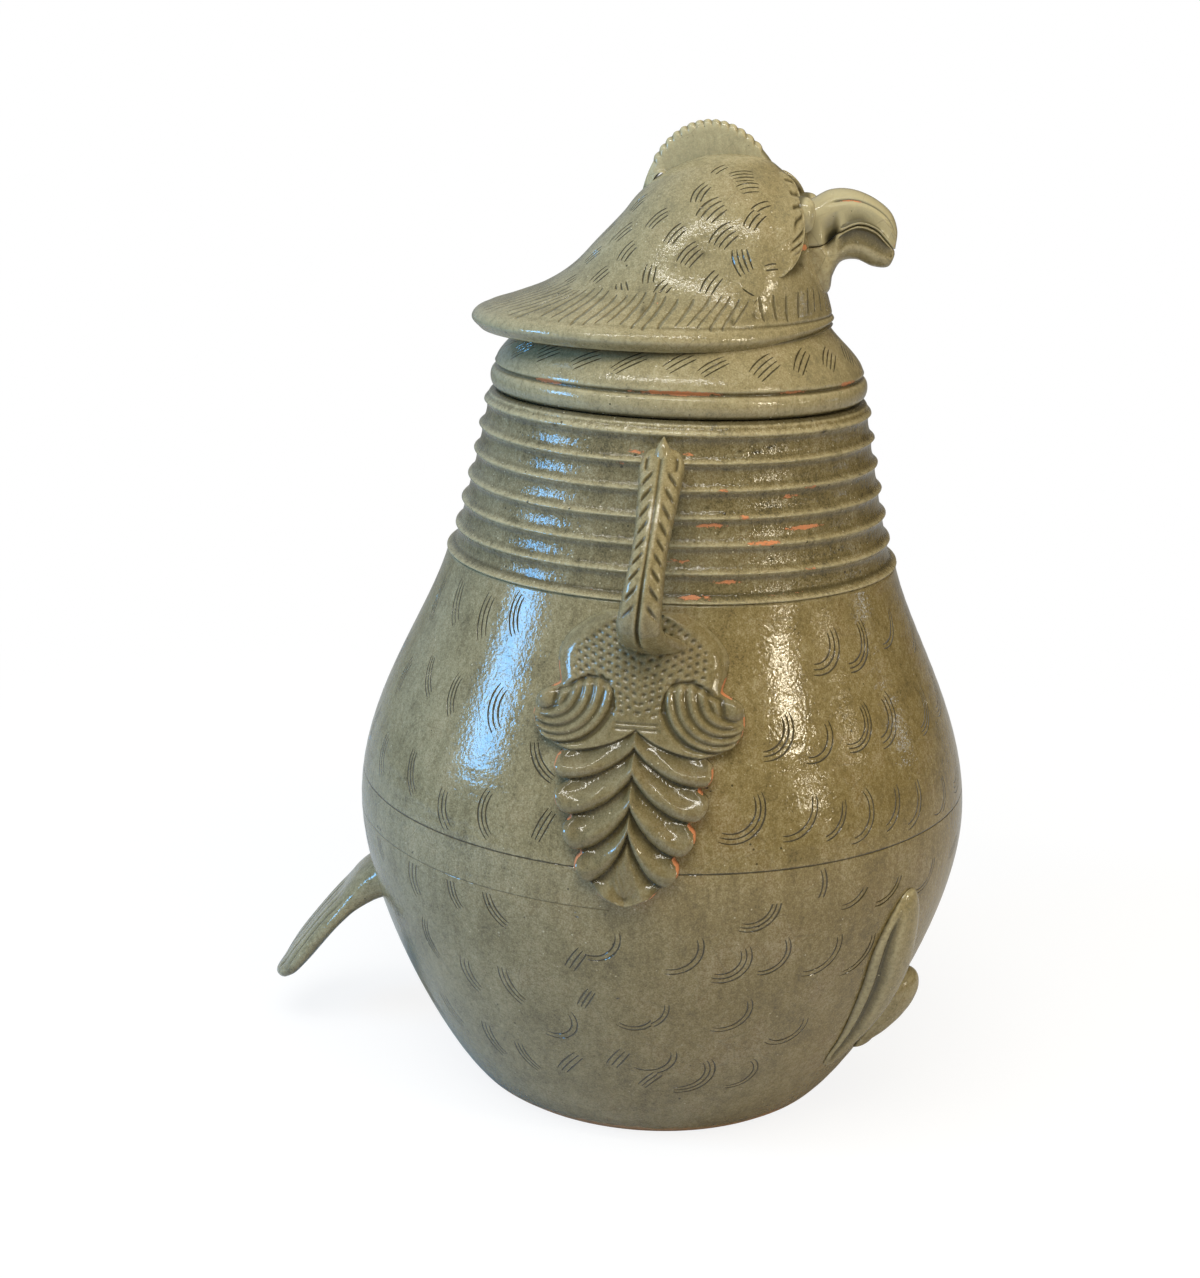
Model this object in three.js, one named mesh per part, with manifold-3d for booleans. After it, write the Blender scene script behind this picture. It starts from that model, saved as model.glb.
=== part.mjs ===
// Owl-shaped lidded stoneware jar with an olive celadon glaze.
// Millimetres, +Z up. The jar stands on its flat base at z = 0 with its axis on Z.
// The bird faces -Y; its right side, with one of the two handles, is -X.
// Along the jar's girth an azimuth is measured from the front (-Y), positive to the bird's right.

import * as THREE from 'three';
import { ParametricGeometry } from 'three/addons/geometries/ParametricGeometry.js';
import { mergeVertices } from 'three/addons/utils/BufferGeometryUtils.js';
import Module from 'manifold-3d';

const wasm = await Module();
wasm.setup();

// Jar body
const baseRadius = 70.2;         // where the wall would meet the ground
const heelRound = 2.5;           // rounded heel under the wall
const bellyRadius = 119;
const bellyHeight = 113;         // the two thrown halves are luted together here
const shoulderRadius = 86;       // under the ribbed neck
const shoulderHeight = 211.5;
const bodyWall = 8;
const floorThickness = 10;

// Ribbed neck
const neckHeight = 61.5;
const neckTopRadius = 72.7;
const neckWall = 7.2;            // measured from the bottom of the channels
const neckLedge = 0.9;           // the lowest rib stands out over the shoulder
const ribPitch = 9.4;
const ribDepth = 1.7;            // channel depth between two crisp rib edges
const ribEdge = 1.5;             // height of a rib's flat edge

// Lid: rim, locating flange and slanted collar
const seatGap = 0.3;             // rim of the lid over the rim of the neck
const lidRimRadius = 71.3;
const lidRimHeight = 8.2;
const collarHeight = 26.7;       // seat to the top of the slanted band
const collarTopRadius = 55.5;
const collarBore = 48;           // opening at the collar's top
const flangeDepth = 12;
const flangeWall = 6;
const flangeClearance = 1.4;     // flange to the neck's mouth, all round

// Head
const headHeight = 61.4;         // above the collar
const headWall = 9;
const brimBack = 78.7;           // nape tip behind the axis
const brimFront = 57;
const brimHalfWidth = 66.5;
const crestHeight = 10.8;        // above the top of the head
const crestBack = 16.5;          // behind the axis
const crestFront = 33;           // in front of the axis
const crestThickness = 5.5;
const crestTeeth = 13;
const ruffHeight = 3.4;
const ruffGrooves = 8;
const eyeRadius = 6;
const eyeSlim = 0.78;            // width of an eye over its height
const eyeHeight = 4.6;
const beakRootWidth = 19;
const beakTipWidth = 9;
const beakReach = 78;            // its foremost point in front of the axis
const mouthGap = 0.5;

// Handles and the moulded plates below them
const handleWidth = 15.5;
const handleThickness = 8;
const handleReach = 25;          // outermost face beyond the shoulder radius
const handleTopHeight = 50;      // seat on the neck above the shoulder
const handleFootDrop = 8.5;      // seat on the plate below the shoulder
const handleForward = 3.7;       // handle in front of the jar's middle plane
const handleTipLength = 10.5;    // from its root inside the roll
const handleTipWidth = 5.8;
const plateTopDrop = 2.2;        // top of the plate below the shoulder
const plateForward = 1.3;        // plate in front of the jar's middle plane
const plateRelief = 5.2;
const plateEdge = 1.6;
const reliefRoot = 2.5;          // depth to which a relief's back is drawn before it is fitted to the wall
const plateHalfWidth = 36.8;     // over the tips of the wings
const shieldHeight = 37.3;       // from the top of the plate to its waist
const wingRadius = 19;
const wingMiddle = 27;           // centre of a wing beside the spine
const wingDrop = 25.3;           // and below the plate's top
const plateLobes = 4;            // pairs of overlapping lobes
const lobePitch = 9.2;           // along the spine
const tipLobe = 24.5;            // length of the single lobe at the bottom

// Tail and feet
const tailReach = 39;            // tip beyond the belly radius
const tailRise = 54;             // root above the tip
const tailTipHeight = 18.5;
const tailWidth = 40;
const tailThickness = 8;
const legTopHeight = 106;
const legBottomHeight = 26;
const legWidth = 27;
const legRelief = 7;
const toeTopHeight = 57;
const toeBottomHeight = 23;
const toeWidth = 26;
const toeRelief = 8.8;

const appliedGap = 0.3;          // joint left between an applied piece and what carries it
const segments = 44;

const glaze = new THREE.Color(0x7e7b5b);
const paleGlaze = new THREE.Color(0x8d8a68);
const material = (color = glaze) => new THREE.MeshStandardMaterial({ color, roughness: 0.25, metalness: 0 });

// Closed geometry with shared vertices, no degenerate faces, and faces pointing out.
function weld(geometry) {
  const g = geometry.index ? geometry : geometry.clone();
  for (const name of ['normal', 'uv']) g.deleteAttribute(name);
  const merged = mergeVertices(g, 1e-4);
  const source = merged.index.array;
  const p = merged.attributes.position;
  const index = [];
  let volume = 0;
  const [a, b, c] = [new THREE.Vector3(), new THREE.Vector3(), new THREE.Vector3()];
  for (let i = 0; i < source.length; i += 3) {
    const [i0, i1, i2] = [source[i], source[i + 1], source[i + 2]];
    if (i0 === i1 || i1 === i2 || i2 === i0) continue;
    index.push(i0, i1, i2);
    a.fromBufferAttribute(p, i0);
    b.fromBufferAttribute(p, i1);
    c.fromBufferAttribute(p, i2);
    volume += a.dot(b.cross(c));
  }
  if (volume < 0) index.reverse();
  merged.setIndex(index);
  merged.computeVertexNormals();
  return merged;
}

function toManifold(geometry) {
  const g = weld(geometry);
  return new wasm.Manifold(new wasm.Mesh({
    numProp: 3,
    vertProperties: new Float32Array(g.attributes.position.array),
    triVerts: new Uint32Array(g.index.array),
  }));
}

function fromManifold(solid) {
  const mesh = solid.getMesh();
  const g = new THREE.BufferGeometry();
  g.setAttribute('position', new THREE.BufferAttribute(new Float32Array(mesh.vertProperties), 3));
  g.setIndex(new THREE.BufferAttribute(new Uint32Array(mesh.triVerts), 1));
  return weld(g);
}

// The piece left of a geometry after the cutters; loose slivers along a cut are waste.
function cut(geometry, ...cutters) {
  const rest = cutters.reduce((solid, cutter) => solid.subtract(toManifold(cutter)), toManifold(geometry));
  return fromManifold(rest.decompose().sort((a, b) => b.volume() - a.volume())[0]);
}

// A closed outline of [radius, height] points turned about Z.
function turn(points, count = segments) {
  const outline = points.map(([r, z]) => new THREE.Vector2(r, z));
  return new THREE.LatheGeometry(outline, count).rotateX(Math.PI / 2);
}

// Smooth curve through [x, y] points, read as a function of its parameter 0..1.
function through(points) {
  const curve = new THREE.SplineCurve(points.map(([x, y]) => new THREE.Vector2(x, y)));
  return (t) => curve.getPoint(THREE.MathUtils.clamp(t, 0, 1));
}

// Piecewise smooth function: the value at a position between [position, value] knots.
function blend(knots) {
  return (t) => {
    let i = 0;
    while (i < knots.length - 2 && t > knots[i + 1][0]) i += 1;
    const at = (k) => knots[THREE.MathUtils.clamp(k, 0, knots.length - 1)];
    const [t0, v0] = at(i);
    const [t1, v1] = at(i + 1);
    const span = t1 - t0;
    const slope = (k) => (at(k + 1)[1] - at(k - 1)[1]) / (at(k + 1)[0] - at(k - 1)[0]);
    const x = THREE.MathUtils.clamp((t - t0) / span, 0, 1);
    const m0 = slope(i) * span;
    const m1 = slope(i + 1) * span;
    return (2 * x ** 3 - 3 * x ** 2 + 1) * v0 + (x ** 3 - 2 * x ** 2 + x) * m0
      + (3 * x ** 2 - 2 * x ** 3) * v1 + (x ** 3 - x ** 2) * m1;
  };
}

// The same with knots given as shares of a length along and of a length across.
const share = (knots, along, across) => blend(knots.map(([t, v]) => [t * along, v * across]));

// A closed skin over rings of points; the first and the last ring each shrink to one point.
const skin = (point, around, along) => new ParametricGeometry(
  (u, v, target) => target.copy(point(u >= 1 ? 0 : u, v)), around, along);

const mirrored = (geometry) => weld(geometry.clone().scale(-1, 1, 1));

// Jar body: two Bezier curves meet upright at the belly.
const bodyOutline = new THREE.CurvePath();
bodyOutline.add(new THREE.CubicBezierCurve(
  new THREE.Vector2(baseRadius, 0),
  new THREE.Vector2(baseRadius + 8.5, 0),
  new THREE.Vector2(bellyRadius, bellyHeight - 43),
  new THREE.Vector2(bellyRadius, bellyHeight)));
bodyOutline.add(new THREE.CubicBezierCurve(
  new THREE.Vector2(bellyRadius, bellyHeight),
  new THREE.Vector2(bellyRadius, bellyHeight + 38),
  new THREE.Vector2(shoulderRadius + 7, shoulderHeight - 27.5),
  new THREE.Vector2(shoulderRadius, shoulderHeight)));

const lowerWall = bodyOutline.curves[0].getPoints(10).map((p) => [p.x, p.y]);
const upperWall = bodyOutline.curves[1].getPoints(8).map((p) => [p.x, p.y]);
const wallPoints = [...lowerWall, ...upperWall.slice(1)];

// Outer radius of the faceted wall at a height.
function wallRadius(z) {
  let i = 0;
  while (i < wallPoints.length - 2 && z > wallPoints[i + 1][1]) i += 1;
  const [[r0, z0], [r1, z1]] = [wallPoints[i], wallPoints[i + 1]];
  return r0 + (r1 - r0) * THREE.MathUtils.clamp((z - z0) / (z1 - z0), 0, 1);
}
// The cavity follows every second point of the wall, from its last one.
const lining = (points) => points.filter((_, i) => (points.length - 1 - i) % 2 === 0)
  .map(([r, z]) => [r - bodyWall, z]).reverse();

function bodyLower() {
  const outer = lowerWall.filter(([, z]) => z > heelRound);
  const cavity = lining(lowerWall).filter(([, z]) => z > floorThickness + 6);
  const floorRadius = wallRadius(floorThickness) - bodyWall - 6;
  return turn([
    [0, 0],
    [baseRadius - heelRound, 0],
    [baseRadius + heelRound * 0.6, heelRound * 0.35],
    ...outer,
    ...cavity,
    [floorRadius + 3.5, floorThickness + 2.5],
    [floorRadius, floorThickness],
    [0, floorThickness],
  ]);
}

function bodyUpper() {
  return turn([...upperWall, ...lining(upperWall), upperWall[0]]);
}

// Ribbed neck: shallow channels between crisp raised edges, up to a rounded rim.
const neckTop = shoulderHeight + neckHeight;
const neckEdgeRadius = (z) => {
  const t = THREE.MathUtils.clamp((z - shoulderHeight) / neckHeight, 0, 1);
  return neckTopRadius + (shoulderRadius - neckTopRadius) * (1 - t) ** 1.2;
};
const ribCount = Math.max(1, Math.floor((neckHeight - 4) / ribPitch));
const mouthRadius = neckTopRadius - ribDepth - neckWall - 0.6;

function neckOutline(extra = 0) {
  const points = [[shoulderRadius + neckLedge, shoulderHeight]];
  for (let i = 0; i < ribCount; i += 1) {
    const z = shoulderHeight + i * ribPitch;
    const ledge = i === 0 ? neckLedge : 0;
    points.push(
      [neckEdgeRadius(z) + ledge, z + ribEdge],
      [neckEdgeRadius(z + ribPitch * 0.55) - ribDepth, z + ribPitch * 0.55],
      [neckEdgeRadius(z + ribPitch), z + ribPitch],
    );
  }
  const lastRib = shoulderHeight + ribCount * ribPitch;
  points.push([neckEdgeRadius(lastRib) + 0.2, (lastRib + neckTop) / 2], [neckTopRadius - 1.4, neckTop]);
  return points.map(([r, z]) => [r + extra, z]);
}

function neckRibbed() {
  const bore = [];
  for (let i = 3; i >= 0; i -= 1) {
    const z = shoulderHeight + (neckHeight - 4) * (i / 3);
    const taper = (1 - i / 3) ** 1.2;
    const foot = wallRadius(shoulderHeight) - bodyWall;
    bore.push([mouthRadius + (foot - mouthRadius) * taper, z]);
  }
  const outline = [...neckOutline(), [mouthRadius + 1.2, neckTop], ...bore];
  return turn([...outline, outline[0]]);
}

// Lid collar: a rim that rests on the neck, a flange inside the mouth and a slanted band above.
const lidSeat = neckTop + seatGap;
const collarTop = lidSeat + collarHeight;
const flangeRadius = mouthRadius - flangeClearance;

function lidCollar() {
  const rimTop = lidSeat + lidRimHeight;
  const band = new THREE.CubicBezierCurve(
    new THREE.Vector2(lidRimRadius - 2.4, rimTop + 2.9),
    new THREE.Vector2(lidRimRadius - 4.2, rimTop + 8),
    new THREE.Vector2(collarTopRadius + 3.4, collarTop - 5),
    new THREE.Vector2(collarTopRadius, collarTop));
  const flangeBore = flangeRadius - flangeWall;
  const outline = [
    [flangeBore, lidSeat - flangeDepth],
    [flangeRadius - 1, lidSeat - flangeDepth],
    [flangeRadius, lidSeat - flangeDepth + 2],
    [flangeRadius, lidSeat],
    [lidRimRadius - 1.6, lidSeat],
    [lidRimRadius - 0.3, lidSeat + 1.4],
    [lidRimRadius, lidSeat + lidRimHeight * 0.5],
    [lidRimRadius - 0.6, rimTop - 0.9],
    [lidRimRadius - 2.3, rimTop],
    [lidRimRadius - 1.7, rimTop + 1.6],
    ...band.getPoints(4).map((p) => [p.x, p.y]),
    [collarBore, collarTop],
    [flangeBore - 2, collarTop - 12],
    [flangeBore, lidSeat + 5],
  ];
  return turn([...outline, outline[0]]);
}

// Head: level sections, each with a back and a front reach and a half width.
// The front of the middle sections is blunt, as an owl's face is.
const headTop = collarTop + headHeight;
const ridgeMiddle = 17;
const level = (h) => collarTop + h;
const headBack = share([
  [-0.078, -0.959], [-0.016, -1], [0.052, -0.954], [0.114, -0.818], [0.195, -0.661], [0.309, -0.526],
  [0.472, -0.407], [0.635, -0.29], [0.733, -0.231], [0.839, -0.145], [0.92, -0.043], [0.979, 0.076],
  [1, 0.203],
], headHeight, brimBack);
const headFront = share([
  [-0.078, 0.972], [-0.016, 1], [0.052, 0.991], [0.163, 0.958], [0.309, 0.891], [0.472, 0.825],
  [0.619, 0.793], [0.733, 0.754], [0.839, 0.688], [0.92, 0.596], [0.979, 0.482], [1, 0.316],
], headHeight, brimFront);
const headHalf = share([
  [-0.078, 0.947], [-0.016, 1], [0.052, 0.961], [0.114, 0.872], [0.195, 0.774], [0.309, 0.699],
  [0.472, 0.632], [0.619, 0.564], [0.733, 0.489], [0.839, 0.376], [0.92, 0.256], [0.979, 0.128],
  [1, 0.009],
], headHeight, brimHalfWidth);
const headBlunt = share([[-0.1, 2], [0.1, 2], [0.33, 2.9], [0.59, 3.1], [0.78, 2.4], [1, 2]], headHeight, 1);

// Point of a section; theta runs from the front by the bird's right side to the back.
function sectionPoint(theta, back, front, half, power, z, grown = 0) {
  const middle = (back + front) / 2;
  const reach = (front - back) / 2 + grown;
  const forward = Math.cos(theta);
  const side = Math.sin(theta);
  const n = forward > 0 ? power : 2;
  const s = middle + reach * Math.sign(forward) * Math.abs(forward) ** (2 / n);
  const w = (half + grown) * Math.sign(side) * Math.abs(side) ** (2 / n);
  return new THREE.Vector3(-w, -s, z);
}

// The brim rises towards the chin.
const chinLift = (theta) => Math.max(0, Math.cos(theta)) ** 4;

function headPoint(theta, h, grown = 0) {
  return sectionPoint(theta, headBack(h), headFront(h), headHalf(h), headBlunt(h), level(h), grown);
}

function headSkin(h, lift) {
  return (theta) => headPoint(theta, h).add(new THREE.Vector3(0, 0, lift * chinLift(theta)));
}

const ring = (radius, z) => (theta) => sectionPoint(theta, -radius, radius, radius, 2, z);
const pole = (s, z) => () => new THREE.Vector3(0, -s, z);

const headRows = [
  [1, 0.15], [0.979, 0], [0.92, 0], [0.839, 0], [0.733, 0], [0.619, 0], [0.505, 0], [0.407, 0],
  [0.309, 0], [0.236, 0], [0.171, 0], [0.114, 0], [0.052, 1.2], [-0.016, 4], [-0.078, 6],
].map(([h, lift]) => headSkin(h * headHeight, lift));

function headHood() {
  const lip = collarTopRadius + 0.8;
  const hollow = (h, back, front, half) => (theta) =>
    sectionPoint(theta, back, front, half, 2, level(h));
  const shell = headWall;
  const rings = [
    pole(ridgeMiddle, headTop + 0.1),
    ...headRows,
    (theta) => sectionPoint(theta, -lip - 5, lip + 0.4, lip + 3.6, 2, level(-2.6) + 3.4 * chinLift(theta)),
    ring(lip, collarTop),
    ring(collarBore - 1, collarTop),
    hollow(3, -collarBore + 1.6, collarBore - 1.6, collarBore - 1.6),
    ...[12, 22, 32, 42, headHeight - shell - 3.4].map((h) => hollow(h,
      headBack(h) + shell + 5 - 0.08 * h, headFront(h) - shell, headHalf(h) - shell)),
    pole(ridgeMiddle - 3, headTop - shell),
  ];
  return skin((u, v) => {
    const row = Math.round(v * (rings.length - 1));
    return rings[row](u * 2 * Math.PI);
  }, 38, rings.length - 1);
}

// The head as a solid, grown a little, cuts the seat of each piece applied to it.
function headCutter(grown) {
  const rings = [pole(ridgeMiddle, headTop + grown + 0.1), ...headRows.map((row) => (theta) => {
    const p = row(theta);
    const out = new THREE.Vector3(p.x, p.y + ridgeMiddle * 0.5, 0).normalize().multiplyScalar(grown * 1.2);
    return p.add(out).add(new THREE.Vector3(0, 0, grown));
  }), pole(0, collarTop - 4)];
  return skin((u, v) => rings[Math.round(v * (rings.length - 1))](u * 2 * Math.PI), 38, rings.length - 1);
}

// Crest: an upright blade along the ridge with a row of scalloped teeth.
function crest() {
  const arch = new THREE.CubicBezierCurve(
    new THREE.Vector2(-crestBack, level(headHeight * 0.765)),
    new THREE.Vector2(-crestBack * 0.6, headTop + crestHeight * 1.26),
    new THREE.Vector2(crestFront * 0.455, headTop + crestHeight * 2),
    new THREE.Vector2(crestFront, level(headHeight * 0.912)));
  const outline = new THREE.Shape();
  outline.moveTo(1.5 - crestBack, level(headHeight * 0.717));
  const lowTooth = 0.16;
  const highTooth = 0.88;
  const start = arch.getPoint(0);
  outline.lineTo(start.x, start.y);
  for (let i = 1; i <= 3; i += 1) {
    const p = arch.getPoint((lowTooth * i) / 3);
    outline.lineTo(p.x, p.y);
  }
  for (let i = 0; i < crestTeeth; i += 1) {
    const from = lowTooth + ((highTooth - lowTooth) * i) / crestTeeth;
    const step = (highTooth - lowTooth) / crestTeeth;
    const crown = arch.getPoint(from + step / 2);
    const tangent = arch.getTangent(from + step / 2);
    outline.lineTo(crown.x - tangent.y * 0.7 - tangent.x * 0.6, crown.y + tangent.x * 0.7 - tangent.y * 0.6);
    outline.lineTo(crown.x - tangent.y * 0.7 + tangent.x * 0.6, crown.y + tangent.x * 0.7 + tangent.y * 0.6);
    const root = arch.getPoint(from + step);
    outline.lineTo(root.x, root.y);
  }
  for (const t of [0.94, 1]) {
    const p = arch.getPoint(t);
    outline.lineTo(p.x, p.y);
  }
  outline.lineTo(crestFront - 2, level(headHeight * 0.814));
  outline.lineTo(crestFront / 4, level(headHeight * 0.814));
  outline.closePath();
  const bevel = 1.1;
  const blade = new THREE.ExtrudeGeometry(outline, {
    depth: crestThickness - 2 * bevel, bevelEnabled: true, bevelSegments: 1, bevelSize: bevel * 0.6,
    bevelThickness: bevel, bevelOffset: -bevel * 0.6, steps: 1,
  });
  blade.translate(0, 0, -crestThickness / 2 + bevel);
  // Shape x runs forward and shape y runs up.
  blade.applyMatrix4(new THREE.Matrix4().makeBasis(
    new THREE.Vector3(0, -1, 0), new THREE.Vector3(0, 0, 1), new THREE.Vector3(-1, 0, 0)));
  return cut(blade, headCutter(appliedGap));
}

// Ruff: a crescent round the corner of the face, steep towards the face and fading backwards,
// crossed by short grooves.
function ruff() {
  const top = headHeight * 0.904;
  const bottom = headHeight * 0.334;
  const frontEdge = share([
    [0.334, 0.9], [0.391, 0.72], [0.456, 0.58], [0.554, 0.5], [0.651, 0.46], [0.749, 0.4],
    [0.831, 0.34], [0.904, 0.36],
  ], headHeight, 1);
  const backEdge = share([
    [0.334, 1.02], [0.407, 1.12], [0.505, 1.16], [0.651, 1.14], [0.782, 1.02], [0.863, 0.86],
    [0.904, 0.6],
  ], headHeight, 1);
  const swellAcross = [[0, 0.86], [0.08, 1], [0.24, 0.93], [0.45, 0.62], [0.7, 0.25], [1, 0.03]];
  const across = swellAcross.length - 1;
  const under = 3;
  const point = (u, v) => {
    const h = top + (bottom - top) * v;
    const taper = Math.sin(Math.PI * THREE.MathUtils.clamp(v, 0, 1)) ** 0.5;
    const step = Math.round(u * (across + under));
    const onTop = step <= across;
    const [c, share] = onTop ? swellAcross[step] : [1 - (step - across) / under, 0];
    const theta = frontEdge(h) + (backEdge(h) - frontEdge(h)) * c * (taper < 0.02 ? 0 : taper);
    const groove = 0.5 - 0.5 * Math.cos(2 * Math.PI * v * ruffGrooves);
    const swell = ruffHeight * taper * share * (0.8 + 0.2 * groove);
    const lift = appliedGap + 0.25 + (onTop ? 0.4 * taper + swell : 0);
    const p = headPoint(theta, h);
    const e = 0.02;
    const along = headPoint(theta + e, h).sub(headPoint(theta - e, h));
    const up = headPoint(theta, h + 0.5).sub(headPoint(theta, h - 0.5));
    const normal = up.cross(along).normalize();
    if (normal.y > 0 && normal.x > 0) normal.negate();
    return p.addScaledVector(normal, lift);
  };
  return cut(skin(point, across + under, 2 * ruffGrooves), headCutter(appliedGap));
}

// Eye: an upright oval boss beside the root of the beak, turned a little to the side.
function eye() {
  const boss = turn([
    [0, -4], [eyeRadius, -4], [eyeRadius, eyeHeight * 0.22], [eyeRadius * 0.9, eyeHeight * 0.58],
    [eyeRadius * 0.62, eyeHeight * 0.87], [0, eyeHeight],
  ], 14);
  boss.scale(eyeSlim, 1, 1);
  boss.rotateX(Math.PI / 2 - 0.12);
  boss.rotateZ(-0.18);
  const seat = headPoint(0.3, headHeight * 0.65);
  boss.translate(-beakRootWidth / 2 - eyeRadius * eyeSlim - 1, seat.y, level(headHeight * 0.668));
  return cut(boss, headCutter(appliedGap));
}

// Beak: two mandibles, each a loft between two side curves, hooked at the tip.
const beakLine = (points) => through(points.map(([s, h]) => [s * beakReach, level(h * headHeight)]));
const beakTop = beakLine([
  [0.4872, 0.684], [0.5885, 0.7508], [0.6731, 0.8094], [0.7692, 0.8176], [0.8782, 0.772],
  [0.9654, 0.6873], [0.9987, 0.5863], [0.9974, 0.4919],
]);
const mouthLine = beakLine([
  [0.5128, 0.4723], [0.6603, 0.4919], [0.7308, 0.5635], [0.8205, 0.6173], [0.8974, 0.5928],
  [0.9551, 0.5244], [0.9936, 0.4707],
]);
const beakUnder = beakLine([
  [0.5385, 0.0977], [0.6949, 0.2085], [0.7103, 0.3062], [0.7462, 0.3909], [0.8141, 0.4088],
  [0.8974, 0.3713], [0.9667, 0.373], [0.9949, 0.43],
]);
const beakWidth = blend([[0, beakRootWidth + 3], [0.3, beakRootWidth], [0.6, beakRootWidth * 0.84],
  [0.85, beakTipWidth * 1.25], [1, beakTipWidth * 0.75]]);

function mandible(upper, lower, offset, widthScale, fullness) {
  const along = 12;
  const point = (u, v) => {
    const ends = v <= 0 || v >= 1;
    const t = THREE.MathUtils.clamp((v * along - 0.5) / (along - 1), 0, 1);
    const a = upper(t);
    const b = lower(t);
    const axis = a.clone().sub(b);
    const length = axis.length();
    axis.divideScalar(length);
    const middle = a.clone().add(b).multiplyScalar(0.5).addScaledVector(axis, offset / 2);
    const high = (length - Math.abs(offset)) / 2;
    const wide = (beakWidth(t) / 2) * widthScale;
    const full = (value) => Math.sign(value) * Math.abs(value) ** (2 / fullness);
    const y = ends ? 0 : high * full(Math.cos(u * 2 * Math.PI));
    const x = ends ? 0 : wide * full(Math.sin(u * 2 * Math.PI));
    const p = middle.addScaledVector(axis, y);
    return new THREE.Vector3(-x, -p.x, p.y);
  };
  return skin(point, 16, along);
}

const mouthPit = (side) => new THREE.SphereGeometry(1, 12, 8).scale(3.4, 3.6, 3)
  .translate((side * beakRootWidth) / 2, -0.7 * beakReach, level(headHeight * 0.498));
const beakUpper = () => cut(mandible(beakTop, mouthLine, mouthGap, 1, 2.5),
  headCutter(appliedGap), mouthPit(1), mouthPit(-1));
const beakLower = () => cut(mandible(mouthLine, beakUnder, -mouthGap, 0.94, 2.4),
  headCutter(appliedGap), mouthPit(1), mouthPit(-1));

// Place a point on the wall: x along the girth towards the front, at height z, standing out by h.
function onWall(azimuth, x, z, h) {
  const r = wallRadius(z) + h;
  const a = azimuth - x / wallRadius(z);
  return new THREE.Vector3(-r * Math.sin(a), -r * Math.cos(a), z);
}

const wallCutter = (gap) => turn([[0, 0], ...wallPoints.map(([r, z]) => [r + gap, z]), [0, shoulderHeight]]);

// A relief pressed on the wall: it stands out by a given height over an outline along the girth.
function relief(azimuth, zTop, zBottom, middle, half, height, rows, across, under = 3) {
  const solid = skin((u, v) => {
    const z = zTop + (zBottom - zTop) * v;
    const step = Math.round(u * (across + under));
    const onTop = step <= across;
    const c = onTop ? (2 * step) / across - 1 : 1 - (2 * (step - across)) / under;
    const closing = v <= 0 || v >= 1;
    const x = middle(z) + (closing ? 0 : half(z) * c);
    return onWall(azimuth, x, z, onTop && !closing ? appliedGap + height(c, x, z) : -reliefRoot);
  }, across + under, rows);
  return cut(solid, wallCutter(appliedGap));
}

// Plate under a handle: a shield with two scrolled wings over a cone of overlapping lobes.
const plateTop = shoulderHeight - plateTopDrop;
const plateAzimuth = Math.PI / 2 - plateForward / shoulderRadius;
const seams = [shieldHeight];
for (let i = 0; i < plateLobes; i += 1) seams.push(shieldHeight + 6 + i * lobePitch);
seams.push(seams[plateLobes] + tipLobe);
const plateLength = seams[plateLobes + 1];

// A row of the relief runs down and out from the spine by this much, as the seams do.
const seamDrop = share([
  [0, 0], [wingDrop / plateLength, 0], [shieldHeight / plateLength, 0.24], [0.454, 0.337], [0.548, 0.394],
  [0.653, 0.435], [seams[plateLobes] / plateLength, 0.489], [1, 0],
], plateLength, plateHalfWidth);
const shieldHalf = share([
  [0, 0.435], [0.134, 0.625], [0.375, 0.815], [0.563, 0.815], [0.724, 0.777], [0.845, 0.908],
  [0.938, 0.995], [1.046, 0.989], [1.166, 0.87], [1.236, 0.693],
], shieldHeight, plateHalfWidth);
const lobeHalf = share([
  [0.482, 0.734], [0.524, 0.75], [0.618, 0.723], [0.744, 0.625], [0.86, 0.489], [0.943, 0.34],
  [1, 0.027],
], plateLength, plateHalfWidth);
const lobeProfile = blend([[0, 0.28], [0.3, 0.8], [0.66, 1], [0.92, 0.8], [1, 0.1]]);

const plateRows = [0, 0.03, 0.11, 0.21, 0.32, 0.43, 0.54, 0.65, 0.71, 0.76, 0.82, 0.87, 0.925, 0.984]
  .map((t) => ({ down: t * shieldHeight, phase: -1 }));
seams.slice(0, -1).forEach((down, i) => {
  const steps = i < plateLobes ? [0.05, 0.32, 0.66, 0.92] : [0.05, 0.2, 0.4, 0.6, 0.8, 0.94, 1];
  for (const phase of steps) plateRows.push({ down: down + (seams[i + 1] - down) * phase, phase });
});

// Height of the plate over the wall at a share c of its half width.
function plateHeight(c, x, down, phase) {
  const rim = Math.max(0, 1 - Math.abs(c) ** 6) ** 0.5;
  if (phase >= 0) return plateEdge + (plateRelief - plateEdge) * rim * lobeProfile(phase);
  const reach = wingRadius - Math.hypot(Math.abs(x) - wingMiddle, down - wingDrop);
  const wing = down > wingDrop ? THREE.MathUtils.smoothstep(reach, -1, 3) : 0;
  const dome = 0.62 * Math.cos((x / (2.4 * wingMiddle)) * Math.PI);
  return plateEdge + (plateRelief - plateEdge) * rim * Math.max(dome, 0.85 * wing);
}

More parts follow.
